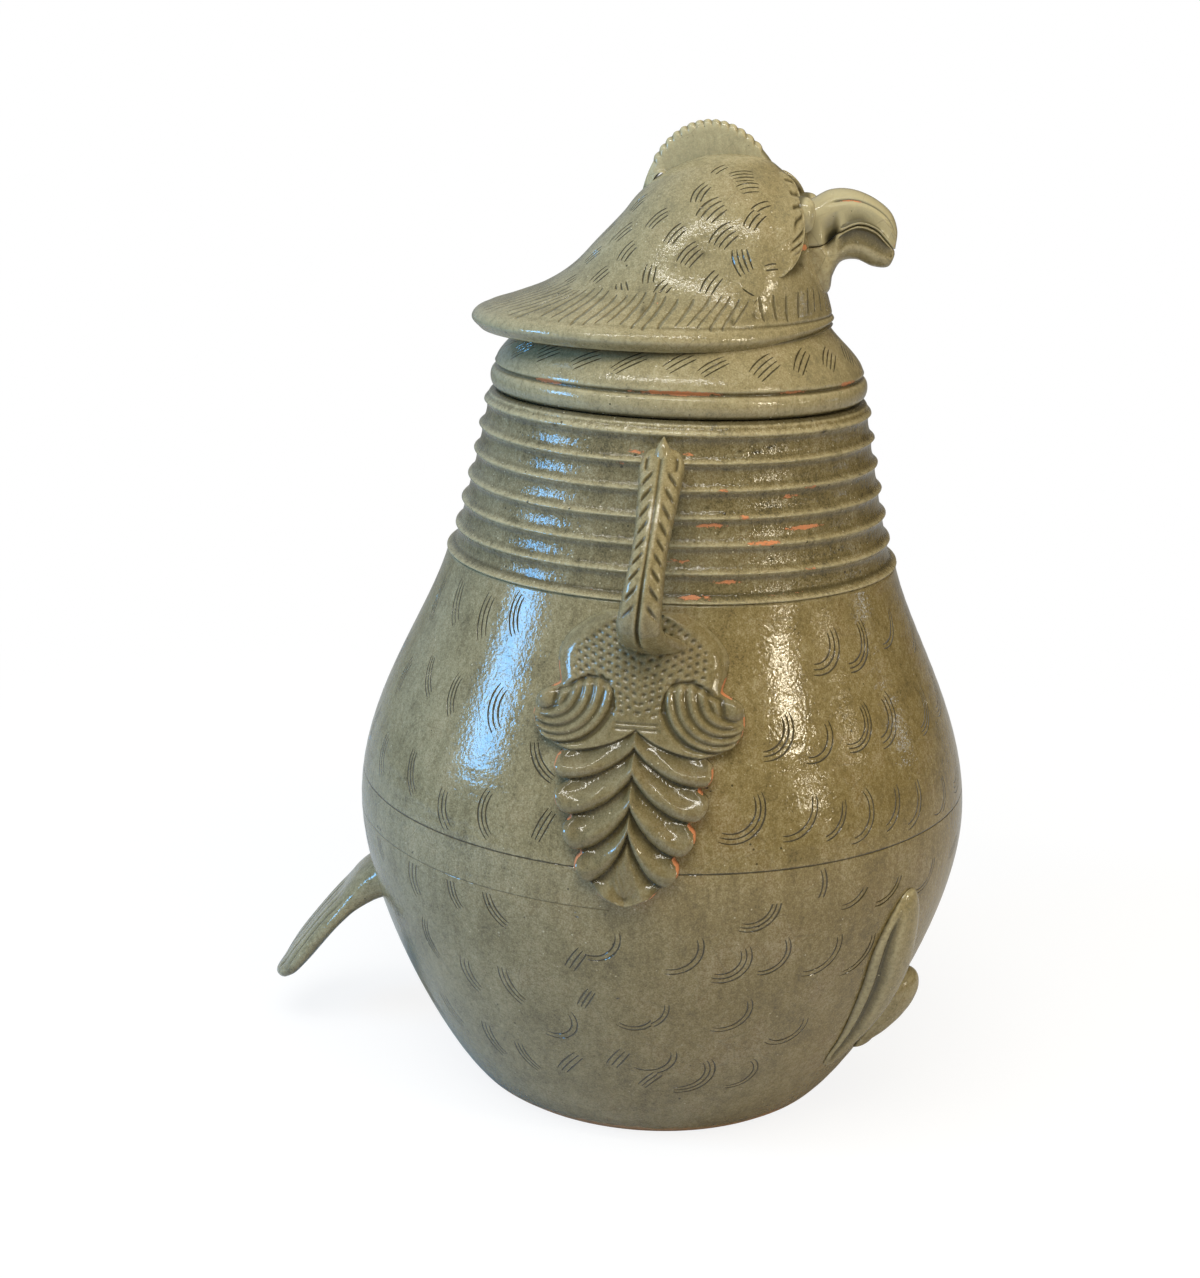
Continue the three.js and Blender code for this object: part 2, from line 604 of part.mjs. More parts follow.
function plate(extra = 0) {
  const across = 14;
  const under = 3;
  const last = plateRows.length - 1;
  const solid = skin((u, v) => {
    const index = Math.round(v * last);
    const closing = index === 0 || index === last;
    const { down: spine, phase } = plateRows[index];
    const step = Math.round(u * (across + under));
    const onTop = step <= across;
    const c = onTop ? (2 * step) / across - 1 : 1 - (2 * (step - across)) / under;
    const down = spine + (closing ? 0 : seamDrop(spine) * Math.abs(c) ** 0.55);
    const scallop = phase < 0 ? 1 : 1 - 0.1 * (1 - Math.sin(Math.PI * phase) ** 0.5);
    const half = down < shieldHeight * 1.236 ? shieldHalf(down) : lobeHalf(down) * scallop;
    const x = closing ? 0 : half * c;
    const height = onTop && !closing ? appliedGap + plateHeight(c, x, down, phase) + extra : -reliefRoot;
    return onWall(plateAzimuth, x, plateTop - down, height);
  }, across + under, last);
  return cut(solid, wallCutter(appliedGap));
}

// Handle: a leaf-shaped strap from a rib of the neck out and down to the plate.
const handleTop = shoulderHeight + handleTopHeight;
const handleFoot = shoulderHeight - handleFootDrop;
const outermost = shoulderRadius + handleReach - handleThickness / 2;
const strapLine = new THREE.CatmullRomCurve3([
  [neckEdgeRadius(handleTop) - 3, handleTop + 1, 1],
  [neckEdgeRadius(handleTop) + 7, handleTop - 6, 1.1],
  [outermost - 10, shoulderHeight + 24, 0.97],
  [outermost - 1.5, shoulderHeight + 9, 0.7],
  [outermost - 2, handleFoot + 5, 1.05],
  [wallRadius(handleFoot) + plateRelief + 1, handleFoot - 3, 1.18],
  [wallRadius(handleFoot) - 2, handleFoot - 7, 1.1],
].map(([r, z, lean]) => new THREE.Vector3(-r, -handleForward * lean, z)), false, 'centripetal');
const strapWidth = blend([[0, 0.74], [0.06, 1], [0.13, 1.1], [0.34, 0.9], [0.5, 1], [0.7, 1.1], [0.85, 1.22],
  [1, 1.7]]);

function strap(grown = 0) {
  const along = 18;
  const section = [[-1, -0.15], [-0.8, 0.55], [-0.35, 1], [0, 0.62], [0.35, 1], [0.8, 0.55], [1, -0.15],
    [0.7, -0.85], [0, -1], [-0.7, -0.85]];
  const point = (u, v) => {
    const t = THREE.MathUtils.clamp((v * along - 0.5) / (along - 1), 0, 1);
    const ends = v <= 0 || v >= 1;
    const p = strapLine.getPoint(t);
    const tangent = strapLine.getTangent(t);
    const across = new THREE.Vector3(0, 1, 0);
    const out = tangent.clone().cross(across).normalize();
    if (out.x > 0) out.negate();
    const [a, b] = section[Math.round(u * section.length) % section.length];
    if (ends) return p;
    return p.addScaledVector(across, a * ((handleWidth * strapWidth(t)) / 2 + grown))
      .addScaledVector(out, b * (handleThickness / 2 + grown * 1.4));
  };
  return skin(point, section.length, along);
}

const neckCutter = (gap) => turn([[0, shoulderHeight - 1],
  [shoulderRadius + neckLedge + gap, shoulderHeight - 1], ...neckOutline(gap), [0, neckTop]]);

const handle = () => cut(strap(), neckCutter(appliedGap), wallCutter(appliedGap), plate(appliedGap));

// The pointed end of the strap's roll stands up behind its top.
function handleTip() {
  const radius = handleTipWidth / 2;
  const cone = turn([[0, 0], [radius, 0], [radius, handleTipLength * 0.45],
    [radius * 0.75, handleTipLength * 0.66], [0, handleTipLength]], 12);
  cone.translate(0, 0, -handleTipLength / 3);
  cone.rotateY(0.2);
  cone.translate(-neckEdgeRadius(handleTop) - 2.4, -handleForward, handleTop);
  return cut(cone, neckCutter(appliedGap), strap(appliedGap));
}

// Tail: a flat paddle slanting down from the back, rounded at its tip.
const tailLine = new THREE.CatmullRomCurve3([
  [-0.436, 1], [0, 0.843], [0.308, 0.63], [0.692, 0.296], [1, 0],
].map(([out, rise]) => new THREE.Vector3(0, bellyRadius + tailReach * out, tailTipHeight + tailRise * rise)),
false, 'centripetal');
const tailHalf = blend([[0, 0.95], [0.3, 0.86], [0.55, 1], [0.8, 0.95], [0.93, 0.7], [1, 0.3]]);
const tailThick = blend([[0, 2.6], [0.25, 1.7], [0.45, 1.1], [0.8, 1], [1, 0.75]]);

function tail() {
  const along = 14;
  const point = (u, v) => {
    const t = THREE.MathUtils.clamp((v * along - 0.5) / (along - 1), 0, 1);
    const p = tailLine.getPoint(t);
    if (v <= 0 || v >= 1) return p;
    const tangent = tailLine.getTangent(t);
    const side = new THREE.Vector3(1, 0, 0);
    const up = side.clone().cross(tangent).normalize();
    if (up.z < 0) up.negate();
    const angle = u * 2 * Math.PI;
    const [c, s] = [Math.cos(angle), Math.sin(angle)];
    return p.addScaledVector(side, (Math.sign(c) * Math.abs(c) ** 0.7 * tailWidth * tailHalf(t)) / 2)
      .addScaledVector(up, (Math.sign(s) * Math.abs(s) ** 0.8 * tailThickness * tailThick(t)) / 2);
  };
  return cut(skin(point, 16, along), wallCutter(appliedGap));
}

// Leg and toe: rounded ridges down the front of the wall.
const degrees = (value) => (value * Math.PI) / 180;
function ridge(azimuth, top, bottom, width, rise, bend, full) {
  const t = (z) => THREE.MathUtils.clamp((top - z) / (top - bottom), 0, 1);
  const half = (z) => (width / 2) * Math.sin(Math.PI * t(z) ** full) ** 0.55;
  const middle = (z) => bend(t(z));
  const height = (c, x, z) => rise * Math.sin(Math.PI * t(z) ** full) ** 0.6
    * (0.12 + 0.88 * (1 - c * c) ** 0.7);
  return relief(degrees(azimuth), top, bottom, middle, half, height, 11, 6, 2);
}
const leg = () => ridge(32.6, legTopHeight, legBottomHeight, legWidth, legRelief,
  blend([[0, -1], [0.25, -2.5], [0.5, 0.5], [0.75, 0.6], [1, -4]]), 0.85);
const toe = () => ridge(15.2, toeTopHeight, toeBottomHeight, toeWidth, toeRelief,
  blend([[0, 1], [0.5, 0], [1, -4]]), 0.75);

const group = new THREE.Group();
function add(name, geometry, color) {
  const mesh = new THREE.Mesh(weld(geometry), material(color));
  mesh.name = name;
  group.add(mesh);
}

add('body_lower', bodyLower());
add('body_upper', bodyUpper());
add('neck_ribbed', neckRibbed());
const sides = [['right', (g) => g], ['left', mirrored]];
const pieces = [['plate', plate()], ['handle', handle()], ['handle_tip', handleTip()],
  ['leg', leg()], ['toe', toe()]];
for (const [name, geometry] of pieces) {
  for (const [side, place] of sides) add(`${name}_${side}`, place(geometry));
}
add('tail', tail());
add('lid_collar', lidCollar());
add('head_hood', headHood());
add('crest', crest(), paleGlaze);
const facePieces = [['face_ruff', ruff()], ['eye', eye()]];
for (const [name, geometry] of facePieces) {
  for (const [side, place] of sides) add(`${name}_${side}`, place(geometry));
}
add('beak_upper', beakUpper());
add('beak_lower', beakLower());

export default group;
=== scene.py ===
"""Clay, glaze and stage of an owl-shaped lidded jar.

The pieces are grids of points worked out in millimetres, in the jar's own frame: its axis on Z, its base at
z = 0, the bird facing -Y and its right side -X. An azimuth is measured round the axis from the front,
positive to the bird's right. A head angle runs the same way.
"""

import math

import bpy
import numpy as np
from bpy.props import FloatProperty, FloatVectorProperty, IntProperty, PointerProperty
from mathutils import Matrix


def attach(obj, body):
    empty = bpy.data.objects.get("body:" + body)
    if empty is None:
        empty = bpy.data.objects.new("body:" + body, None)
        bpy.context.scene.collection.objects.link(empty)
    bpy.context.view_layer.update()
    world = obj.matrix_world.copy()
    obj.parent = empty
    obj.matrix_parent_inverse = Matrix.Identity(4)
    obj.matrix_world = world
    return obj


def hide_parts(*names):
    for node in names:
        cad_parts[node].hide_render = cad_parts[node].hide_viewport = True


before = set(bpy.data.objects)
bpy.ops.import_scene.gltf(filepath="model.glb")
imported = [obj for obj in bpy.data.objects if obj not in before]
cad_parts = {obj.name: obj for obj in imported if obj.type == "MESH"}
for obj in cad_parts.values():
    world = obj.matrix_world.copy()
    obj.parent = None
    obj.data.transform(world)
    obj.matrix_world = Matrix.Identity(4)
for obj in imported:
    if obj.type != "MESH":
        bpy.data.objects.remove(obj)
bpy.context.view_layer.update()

bl_info = {
    "name": "Owl jar",
    "version": (1, 0, 0),
    "blender": (4, 5, 0),
    "location": "View3D > Sidebar > Owl jar",
    "description": "Thrown, pressed and incised clay of an owl-shaped lidded jar with a celadon glaze",
    "category": "Mesh",
}

MM = 0.001
TURN = 2 * math.pi
# Stroke coordinate of a face without a stroke.
NO_STROKE = -9.0
# Wall of the neck in its channels, gap round the lid's flange, the handles' top over the shoulder, their
# reach outwards from it and their width, all in millimetres.
NECK_WALL = 7.8
FLANGE_CLEARANCE = 1.4
HANDLE_RISE = 50
HANDLE_REACH = 25
HANDLE_WIDTH = 15.5


def length(name, description, millimetres):
    """A size in the panel, written here in millimetres."""
    return FloatProperty(name=name, description=description, default=millimetres * MM, min=0.0, precision=4,
                         unit="LENGTH")


def tint(name, description, colour):
    """A colour in the panel."""
    return FloatVectorProperty(name=name, description=description, default=colour, size=3, min=0.0, max=1.0,
                               subtype="COLOR")


class JarSizes(bpy.types.PropertyGroup):
    """Sizes of the thrown parts."""

    base_radius: length("Base radius", "Where the wall would meet the ground", 70.2)
    belly_radius: length("Belly radius", "Widest radius of the body", 119)
    belly_height: length("Belly height", "Height of the seam between the two thrown halves", 113)
    shoulder_radius: length("Shoulder radius", "Radius of the wall under the neck", 86)
    shoulder_height: length("Shoulder height", "Height of the foot of the neck", 211.5)
    neck_height: length("Neck height", "From the shoulder to the mouth rim", 61.5)
    neck_top_radius: length("Neck top radius", "Radius of the highest rib", 72.7)
    rib_pitch: length("Rib pitch", "Height from one rib to the next", 9.4)
    rib_depth: length("Rib depth", "Depth of the channels between the ribs", 1.7)
    rim_radius: length("Lid rim radius", "Outer radius of the lid's rim", 71.3)
    rim_height: length("Lid rim height", "Height of the lid's rim", 8.2)
    collar_height: length("Collar height", "From the seat to the top of the slanted band", 26.7)
    collar_top_radius: length("Collar top radius", "Radius at the top of the slanted band", 55.5)
    head_height: length("Head height", "Head above the collar", 61.4)
    wall: length("Wall", "Thickness of the body's wall", 8)


class MarkSizes(bpy.types.PropertyGroup):
    """Sizes of the incised and pressed ornament."""

    stroke_width: length("Stroke width", "Width of an incised stroke", 0.85)
    fringe_pitch: length("Fringe pitch", "Distance between the lines round the brim", 4.7)
    stipple_pitch: length("Stipple pitch", "Distance between the pits of the shields", 3.4)
    teeth: IntProperty(name="Crest teeth", description="Scallops along the crest", default=14, min=3, max=40)
    seed: IntProperty(name="Hand", description="Seed of the unevenness of hand work", default=7, min=0)


class GlazeLook(bpy.types.PropertyGroup):
    """Colours of the glaze and of the clay under it."""

    olive: tint("Olive", "Glaze towards the front", (0.215, 0.16, 0.06))
    grey: tint("Grey", "Glaze towards the tail", (0.235, 0.205, 0.115))
    # The pooled colour also paints shade in seams, creases and recesses.
    pooled: tint("Pooled glaze", "Thick glaze in grooves", (0.045, 0.037, 0.016))
    toasted: tint("Toasted glaze", "Brown stains in the glaze", (0.17, 0.105, 0.04))
    thin: tint("Thin glaze", "Glaze drawn thin over edges", (0.42, 0.37, 0.22))
    clay: tint("Fired clay", "Bare clay where the glaze is worn", (0.66, 0.23, 0.085))
    foot: tint("Foot", "Bare clay of the foot", (0.46, 0.24, 0.11))
    # The iron colour also paints the deepest shade, in the crest's notches and in pits.
    iron: tint("Iron specks", "Dark specks in the glaze", (0.02, 0.016, 0.01))
    gloss: FloatProperty(name="Gloss", description="Roughness of the glaze", default=0.085, min=0.0, max=1.0,
                         subtype="FACTOR")


class StageLook(bpy.types.PropertyGroup):
    """Floor, lamps and camera."""

    floor: tint("Floor", "Colour of the floor", (0.62, 0.62, 0.62))
    window_power: FloatProperty(name="Window", description="Strength of the cool lamp at the tail side",
                                default=7.0, min=0.0, unit="POWER")
    room_power: FloatProperty(name="Room", description="Strength of each warm lamp at the front side",
                              default=0.9, min=0.0, unit="POWER")
    ceiling_power: FloatProperty(name="Ceiling", description="Strength of the broad lamp above",
                                 default=14.5, min=0.0, unit="POWER")
    sky: FloatProperty(name="Ambient", description="Even light from all round", default=0.33, min=0.0,
                       max=2.0)
    lens: FloatProperty(name="Lens", description="Focal length on a 36 mm high sensor", default=56.34,
                        min=1.0, unit="CAMERA")


class Measures:
    """The panel's sizes in millimetres, with the heights that follow from them."""

    def __init__(self, scene):
        for group in (scene.jar_sizes, scene.mark_sizes):
            for key in group.__annotations__:
                value = getattr(group, key)
                setattr(self, key, value / MM if isinstance(value, float) else value)
        self.neck_top = self.shoulder_height + self.neck_height
        self.seat = self.neck_top + 0.3
        self.collar_top = self.seat + self.collar_height
        self.mouth_radius = self.neck_top_radius - self.rib_depth - NECK_WALL
        self.handle_top = self.shoulder_height + HANDLE_RISE
        lower = bezier([(self.base_radius, 0), (self.base_radius + 8.5, 0),
                        (self.belly_radius, self.belly_height - 43),
                        (self.belly_radius, self.belly_height)], 110)
        upper = bezier([(self.belly_radius, self.belly_height), (self.belly_radius, self.belly_height + 38),
                        (self.shoulder_radius + 7, self.shoulder_height - 27.5),
                        (self.shoulder_radius, self.shoulder_height)], 96)
        self.lower_wall, self.upper_wall = lower, upper
        self.profile = np.vstack([lower, upper[1:]])

    def wall_radius(self, z):
        """Radius of the body at a height, read from its outline."""
        return np.interp(z, self.profile[:, 1], self.profile[:, 0])

    def rib_edge(self, z):
        """Radius of the ribs' edges, which falls from the shoulder to the rim with a power over one."""
        t = np.clip((z - self.shoulder_height) / self.neck_height, 0, 1)
        return self.neck_top_radius + (self.shoulder_radius - self.neck_top_radius) * (1 - t) ** 1.2


# Curves


def bezier(controls, count):
    """Points of a cubic Bezier curve at even steps of its parameter."""
    p = np.array(controls, float)
    t = np.linspace(0, 1, count)[:, None]
    return (1 - t) ** 3 * p[0] + 3 * (1 - t) ** 2 * t * p[1] + 3 * (1 - t) * t * t * p[2] + t ** 3 * p[3]


def knots(pairs, at):
    """Value between (position, value) knots: cubics whose slope at a knot is that of its neighbours."""
    x, y = np.array(pairs, float).T
    slope = np.zeros(len(x))
    slope[1:-1] = (y[2:] - y[:-2]) / (x[2:] - x[:-2])
    slope[0], slope[-1] = (y[1] - y[0]) / (x[1] - x[0]), (y[-1] - y[-2]) / (x[-1] - x[-2])
    at = np.clip(at, x[0], x[-1])
    i = np.clip(np.searchsorted(x, at, side="right") - 1, 0, len(x) - 2)
    span = x[i + 1] - x[i]
    s = (at - x[i]) / span
    return ((2 * s ** 3 - 3 * s ** 2 + 1) * y[i] + (s ** 3 - 2 * s ** 2 + s) * slope[i] * span
            + (3 * s ** 2 - 2 * s ** 3) * y[i + 1] + (s ** 3 - s ** 2) * slope[i + 1] * span)


def drawn_line(points, t):
    """Curve through points, for t from 0 to 1: cubics whose knots are spaced by the root of each chord."""
    p = np.array(points, float)
    p = np.vstack([2 * p[0] - p[1], p, 2 * p[-1] - p[-2]])
    step = np.sqrt(np.linalg.norm(np.diff(p, axis=0), axis=1))
    x = np.clip(np.asarray(t, float), 0, 1) * (len(points) - 1)
    i = np.minimum(x.astype(int), len(points) - 2) + 1
    s = (x - (i - 1))[:, None]
    d0, d1, d2 = (step[i + k][:, None] for k in (-1, 0, 1))
    p0, p1, p2, p3 = (p[i + k] for k in (-1, 0, 1, 2))
    m1 = ((p1 - p0) / d0 - (p2 - p0) / (d0 + d1) + (p2 - p1) / d1) * d1
    m2 = ((p2 - p1) / d1 - (p3 - p1) / (d1 + d2) + (p3 - p2) / d2) * d1
    return ((2 * s ** 3 - 3 * s ** 2 + 1) * p1 + (s ** 3 - 2 * s ** 2 + s) * m1
            + (3 * s ** 2 - 2 * s ** 3) * p2 + (s ** 3 - s ** 2) * m2)


def smooth(value, low, high):
    """0 below low, 1 above high, and a smooth step between."""
    s = np.clip((value - low) / (high - low), 0, 1)
    return s * s * (3 - 2 * s)


def power(value, exponent):
    """Power that keeps the sign."""
    return np.sign(value) * np.abs(value) ** exponent


def around(azimuth, radius, height):
    """Points at a radius and a height, an azimuth round from the front to the bird's right."""
    return np.stack(np.broadcast_arrays(-radius * np.sin(azimuth), -radius * np.cos(azimuth), height), -1)


def ripple(x, seed):
    """Slow unevenness between -1 and 1: three waves whose lengths and starts come from the seed."""
    rng = np.random.default_rng(seed)
    return sum(np.sin(x * f + p) for f, p in zip(rng.uniform(0.6, 2.6, 3), rng.uniform(0, TURN, 3))) / 3


def uneven(azimuth, z):
    """The thrown wall runs slightly out of true: slow waves round it and faint finger rings up it."""
    waves = np.sin(2 * azimuth + 0.6) + 0.6 * np.sin(3 * azimuth + 2.1 + z / 60)
    rings = np.sin(z / 0.95 + 0.7 * np.sin(azimuth)) * (0.5 + 0.5 * np.sin(z / 23 + azimuth))
    return -0.14 + 0.06 * waves + 0.035 * rings


# Grids of points


def facing(points, wrap=True):
    """Unit normals of a grid: the cross product of its steps along the columns and along the rows."""
    across = np.roll(points, -1, 1) - np.roll(points, 1, 1) if wrap else np.gradient(points, axis=1)
    along = np.gradient(points, axis=0)
    n = np.cross(across, along)
    return n / np.maximum(np.linalg.norm(n, axis=-1, keepdims=True), 1e-9)


def averaged(grid, reach, axis, wrap):
    """Mean over the neighbours up to a number of steps away along one axis."""
    pad = [(0, 0)] * grid.ndim
    pad[axis] = (reach + 1, reach)
    total = np.cumsum(np.pad(grid, pad, mode="wrap" if wrap else "edge"), axis=axis)
    n = grid.shape[axis]
    high = np.take(total, np.arange(2 * reach + 1, 2 * reach + 1 + n), axis=axis)
    low = np.take(total, np.arange(0, n), axis=axis)
    return (high - low) / (2 * reach + 1)


def relief_of(points, normals, span=2.2):
    """How far each point stands out from its surroundings' mean: above 0 on edges, below in grooves."""
    row_step = np.median(np.linalg.norm(np.diff(points, axis=0), axis=-1))
    column_step = np.median(np.linalg.norm(np.diff(points, axis=1), axis=-1))
    mean = averaged(points, int(np.clip(span / row_step, 1, 12)), 0, False)
    mean = averaged(mean, int(np.clip(span / column_step, 1, 12)), 1, True)
    return np.sum((points - mean) * normals, -1)


class Strokes:
    """Groups of like strokes. Each is a few lines, bent to a circle, side by side and closer at their ends.

    A group has a middle on the surface, a direction that its lines bulge to, the circle's radius, half the
    length of a line, the lines' spacing, their number and their depth.
    """

    def __init__(self):
        self.rows = []

    def add(self, at, along, up, bulge, radius, half_length, spacing, count, depth=1.0):
        """One group: at is its middle; along and up are the surface's level and rising directions."""
        self.rows.append((at, along, up, bulge, radius, half_length, spacing, count, depth))

    def on(self, corners):
        """Stroke coordinates of each face's corners: lines across, in line steps from the first, and share
        of the half length along. Each face takes the group whose middle is nearest to it."""
        count = corners.shape[0]
        centre = corners.mean(1)
        best, nearest = np.full(count, -1), np.full(count, 400.0)
        for i, (at, _, _, _, _, half, spacing, number, _) in enumerate(self.rows):
            distance = np.sum((centre - at) ** 2, -1) / (half + spacing * number * 0.5) ** 2
            closer = distance < np.minimum(nearest, 3.0)
            best[closer], nearest[closer] = i, distance[closer]
        place = np.full((count, 4, 2), NO_STROKE)
        kind = np.zeros((count, 3))
        for i, (at, along, up, bulge, radius, half, spacing, number, depth) in enumerate(self.rows):
            chosen = best == i
            offset = corners[chosen] - at
            x, y = offset @ along, offset @ up
            cx, cy = x + radius * math.cos(bulge), y + radius * math.sin(bulge)
            turn = (np.arctan2(cy, cx) - bulge + math.pi) % TURN - math.pi
            gather = 1 - 0.12 * np.minimum((turn * radius / half) ** 2, 1)
            place[chosen, :, 0] = (np.hypot(cx, cy) - radius) / spacing / gather + (number - 1) / 2
            place[chosen, :, 1] = turn * radius / half
            kind[chosen] = (number, spacing, depth)
        return place, kind


def spot_bells(points, spots, tall):
    """Highest of the bell curves round (azimuth in degrees, height, width in degrees, amount) spots."""
    degrees = np.degrees(np.arctan2(-points[..., 0], -points[..., 1]))
    worn = np.zeros(points.shape[:2])
    for at, height, wide, amount in spots:
        off = ((degrees - at) / wide) ** 2 + ((points[..., 2] - height) / tall) ** 2
        worn = np.maximum(worn, amount * np.exp(-off))
    return worn


def closed_grid(points, loop):
    """Vertices, four-sided faces and closing fans over a grid, and whether its own order was outward.

    Neighbouring points make four-sided faces and the columns close on themselves. The first and the last row
    are each closed by a fan to their middle, or joined to each other where loop is set. Faces point
    outwards: they are turned round where the volume that they enclose comes out negative.
    """
    rows, columns = points.shape[:2]
    index = np.arange(rows * columns).reshape(rows, columns)
    right = np.roll(index, -1, 1)
    vertices = points.reshape(-1, 3)
    if loop:
        quads = np.stack([index, right, np.roll(right, -1, 0), np.roll(index, -1, 0)], -1).reshape(-1, 4)
        fans = np.empty((0, 3), int)
    else:
        quads = np.stack([index[:-1], right[:-1], right[1:], index[1:]], -1).reshape(-1, 4)
        first, last = np.full(columns, rows * columns), np.full(columns, rows * columns + 1)
        vertices = np.vstack([vertices, points[0].mean(0), points[-1].mean(0)])
        fans = np.vstack([np.stack([index[0], first, right[0]], -1),
                          np.stack([index[-1], right[-1], last], -1)])
    a, b, c, d = (vertices[quads[:, k]] for k in range(4))
    outward = np.sum(np.cross(b - a, c - a) * a) + np.sum(np.cross(c - a, d - a) * a) > 0
    if not outward:
        quads, fans = quads[:, ::-1], fans[:, ::-1]
    return vertices, quads, fans, outward


def glaze_flow(points, outward, count, wear, shade, even):
    """For each vertex, how far glaze pools, how thin it is drawn and how worn it is.

    Pooling and thinning are the relief's fall and rise over 0.3 mm, and none where even is set. A shade,
    mostly painted shade in seams, creases, pits and recesses, is added to the pooling and keeps glaze from
    thinning. The fans' middles take the first point's wear.
    """
    relief = relief_of(points, facing(points) if outward else -facing(points)) / 0.3
    if even is not None:
        relief = np.where(even, 0, relief)
    pool_and_shade, thin = np.clip(-relief, 0, 1), np.clip(relief, 0, 1)
    if shade is not None:
        pool_and_shade = np.maximum(pool_and_shade, shade)
        thin = thin * (1 - np.clip(shade, 0, 1))
    worn = 0.0 if wear is None else wear
    at_points = np.stack(np.broadcast_arrays(pool_and_shade, thin, worn), -1).reshape(-1, 3)
    flow = np.zeros((count, 3))
    flow[:len(at_points)] = at_points
    flow[len(at_points):, 2] = at_points[0, 2]
    return flow


def make_piece(name, points, node, body, wear=None, shade=None, strokes=None, lines=None, loop=False,
               finish="celadon", flip=False, even=None):
    """A closed, glazed mesh over a grid of points in millimetres, in the place of a node and on its body.

    Wear, shade and even hold a value for each point. Strokes and lines mark the faces. Flip mirrors all.
    """
    if flip:
        points = points * (-1, 1, 1)
    vertices, quads, fans, outward = closed_grid(points, loop)
    loops = np.concatenate([quads.reshape(-1), fans.reshape(-1)])
    sizes = np.concatenate([np.full(len(quads), 4), np.full(len(fans), 3)])
    mesh = bpy.data.meshes.new(name)
    mesh.vertices.add(len(vertices))
    mesh.vertices.foreach_set("co", (vertices * MM).astype(np.float32).reshape(-1))
    mesh.loops.add(len(loops))
    mesh.loops.foreach_set("vertex_index", loops.astype(np.int32))
    mesh.polygons.add(len(sizes))
    mesh.polygons.foreach_set("loop_start", np.concatenate([[0], np.cumsum(sizes)[:-1]]).astype(np.int32))
    mesh.update(calc_edges=True)
    mesh.shade_smooth()

    flow = glaze_flow(points, outward, len(vertices), wear, shade, even).astype(np.float32)
    mesh.attributes.new("flow", "FLOAT_VECTOR", "POINT").data.foreach_set("vector", flow.reshape(-1))
    corners = vertices[quads]
    place, kind = (strokes or Strokes()).on(corners)
    if lines is not None:
        lines(corners, place, kind, quads)
    place = np.vstack([place.reshape(-1, 2), np.full((3 * len(fans), 2), NO_STROKE)]).astype(np.float32)
    kind = np.vstack([kind, np.zeros((len(fans), 3))]).astype(np.float32)
    mesh.uv_layers.new(name="strokes").data.foreach_set("uv", place.reshape(-1))
    mesh.attributes.new("stroke_kind", "FLOAT_VECTOR", "FACE").data.foreach_set("vector", kind.reshape(-1))
    mesh.validate()

    piece = bpy.data.objects.new(name, mesh)
    bpy.context.scene.collection.objects.link(piece)
    mesh.materials.append(glaze(finish))
    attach(piece, body)
    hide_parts(node)
    return piece


# Glaze


class Recipe:
    """Short hand for the nodes of a material or a world."""

    def __init__(self, owner):
        self.owner = owner
        owner.use_nodes = True
        self.tree = owner.node_tree
        self.shader = self.tree.nodes.get("Principled BSDF")

    def add(self, kind, **settings):
        """A node with its settings."""
        node = self.tree.nodes.new(kind)
        for key, value in settings.items():
            setattr(node, key, value)
        return node

    def set(self, socket, value):
        """Link a socket, or write a value in it."""
        if isinstance(value, bpy.types.NodeSocket):
            self.tree.links.new(value, socket)
        else:
            socket.default_value = value

    def math(self, operation, *values, clamp=False):
        """One sum of up to three values."""
        node = self.add("ShaderNodeMath", operation=operation, use_clamp=clamp)
        for socket, value in zip(node.inputs, values):
            self.set(socket, value)
        return node.outputs[0]

    def fade(self, value, low, high, start=0.0, end=1.0):
        """A smooth step of a value from low to high."""
        node = self.add("ShaderNodeMapRange", interpolation_type="SMOOTHSTEP")
        for socket, item in zip(node.inputs, (value, low, high, start, end)):
            self.set(socket, item)
        return node.outputs[0]

    def mix(self, factor, under, over):
        """Colour between under and over."""
        node = self.add("ShaderNodeMix", data_type="RGBA")
        for socket, item in zip((node.inputs[0], node.inputs[6], node.inputs[7]), (factor, under, over)):
            self.set(socket, (*item, 1.0) if isinstance(item, tuple) else item)
        return node.outputs[2]

    def stretched(self, vector, scale):
        """The vector with its axes scaled."""
        node = self.add("ShaderNodeMapping")
        self.set(node.inputs["Vector"], vector)
        node.inputs["Scale"].default_value = scale
        return node.outputs[0]

    def noise(self, vector, scale, detail=2.0, roughness=0.5):
        """Cloudy noise of about 0..1."""
        node = self.add("ShaderNodeTexNoise")
        self.set(node.inputs["Vector"], vector)
        node.inputs["Scale"].default_value = scale
        node.inputs["Detail"].default_value = detail
        node.inputs["Roughness"].default_value = roughness
        return node.outputs[0]

    def cells(self, vector, scale, feature="F1"):
        """Distance in a pattern of cells, and the cell's random number."""
        node = self.add("ShaderNodeTexVoronoi", feature=feature)
        self.set(node.inputs["Vector"], vector)
        node.inputs["Scale"].default_value = scale
        if feature != "F1":
            return node.outputs["Distance"], None
        split = self.add("ShaderNodeSeparateColor")
        self.set(split.inputs[0], node.outputs["Color"])
        return node.outputs["Distance"], split.outputs[0]

    def dots(self, vector, scale, share, radius):
        """Round dots in a share of the cells, in cell widths; each dot has its own size."""
        distance, chance = self.cells(vector, scale)
        chosen = self.math("LESS_THAN", chance, share)
        size = self.math("MULTIPLY_ADD", self.math("DIVIDE", chance, share), radius * 0.7, radius * 0.3)
        inside = self.fade(self.math("DIVIDE", distance, size), 0.7, 1.0, 1.0, 0.0)
        return self.math("MULTIPLY", chosen, inside)


def colour(value):
    """A panel colour as a plain tuple."""
    return tuple(value)


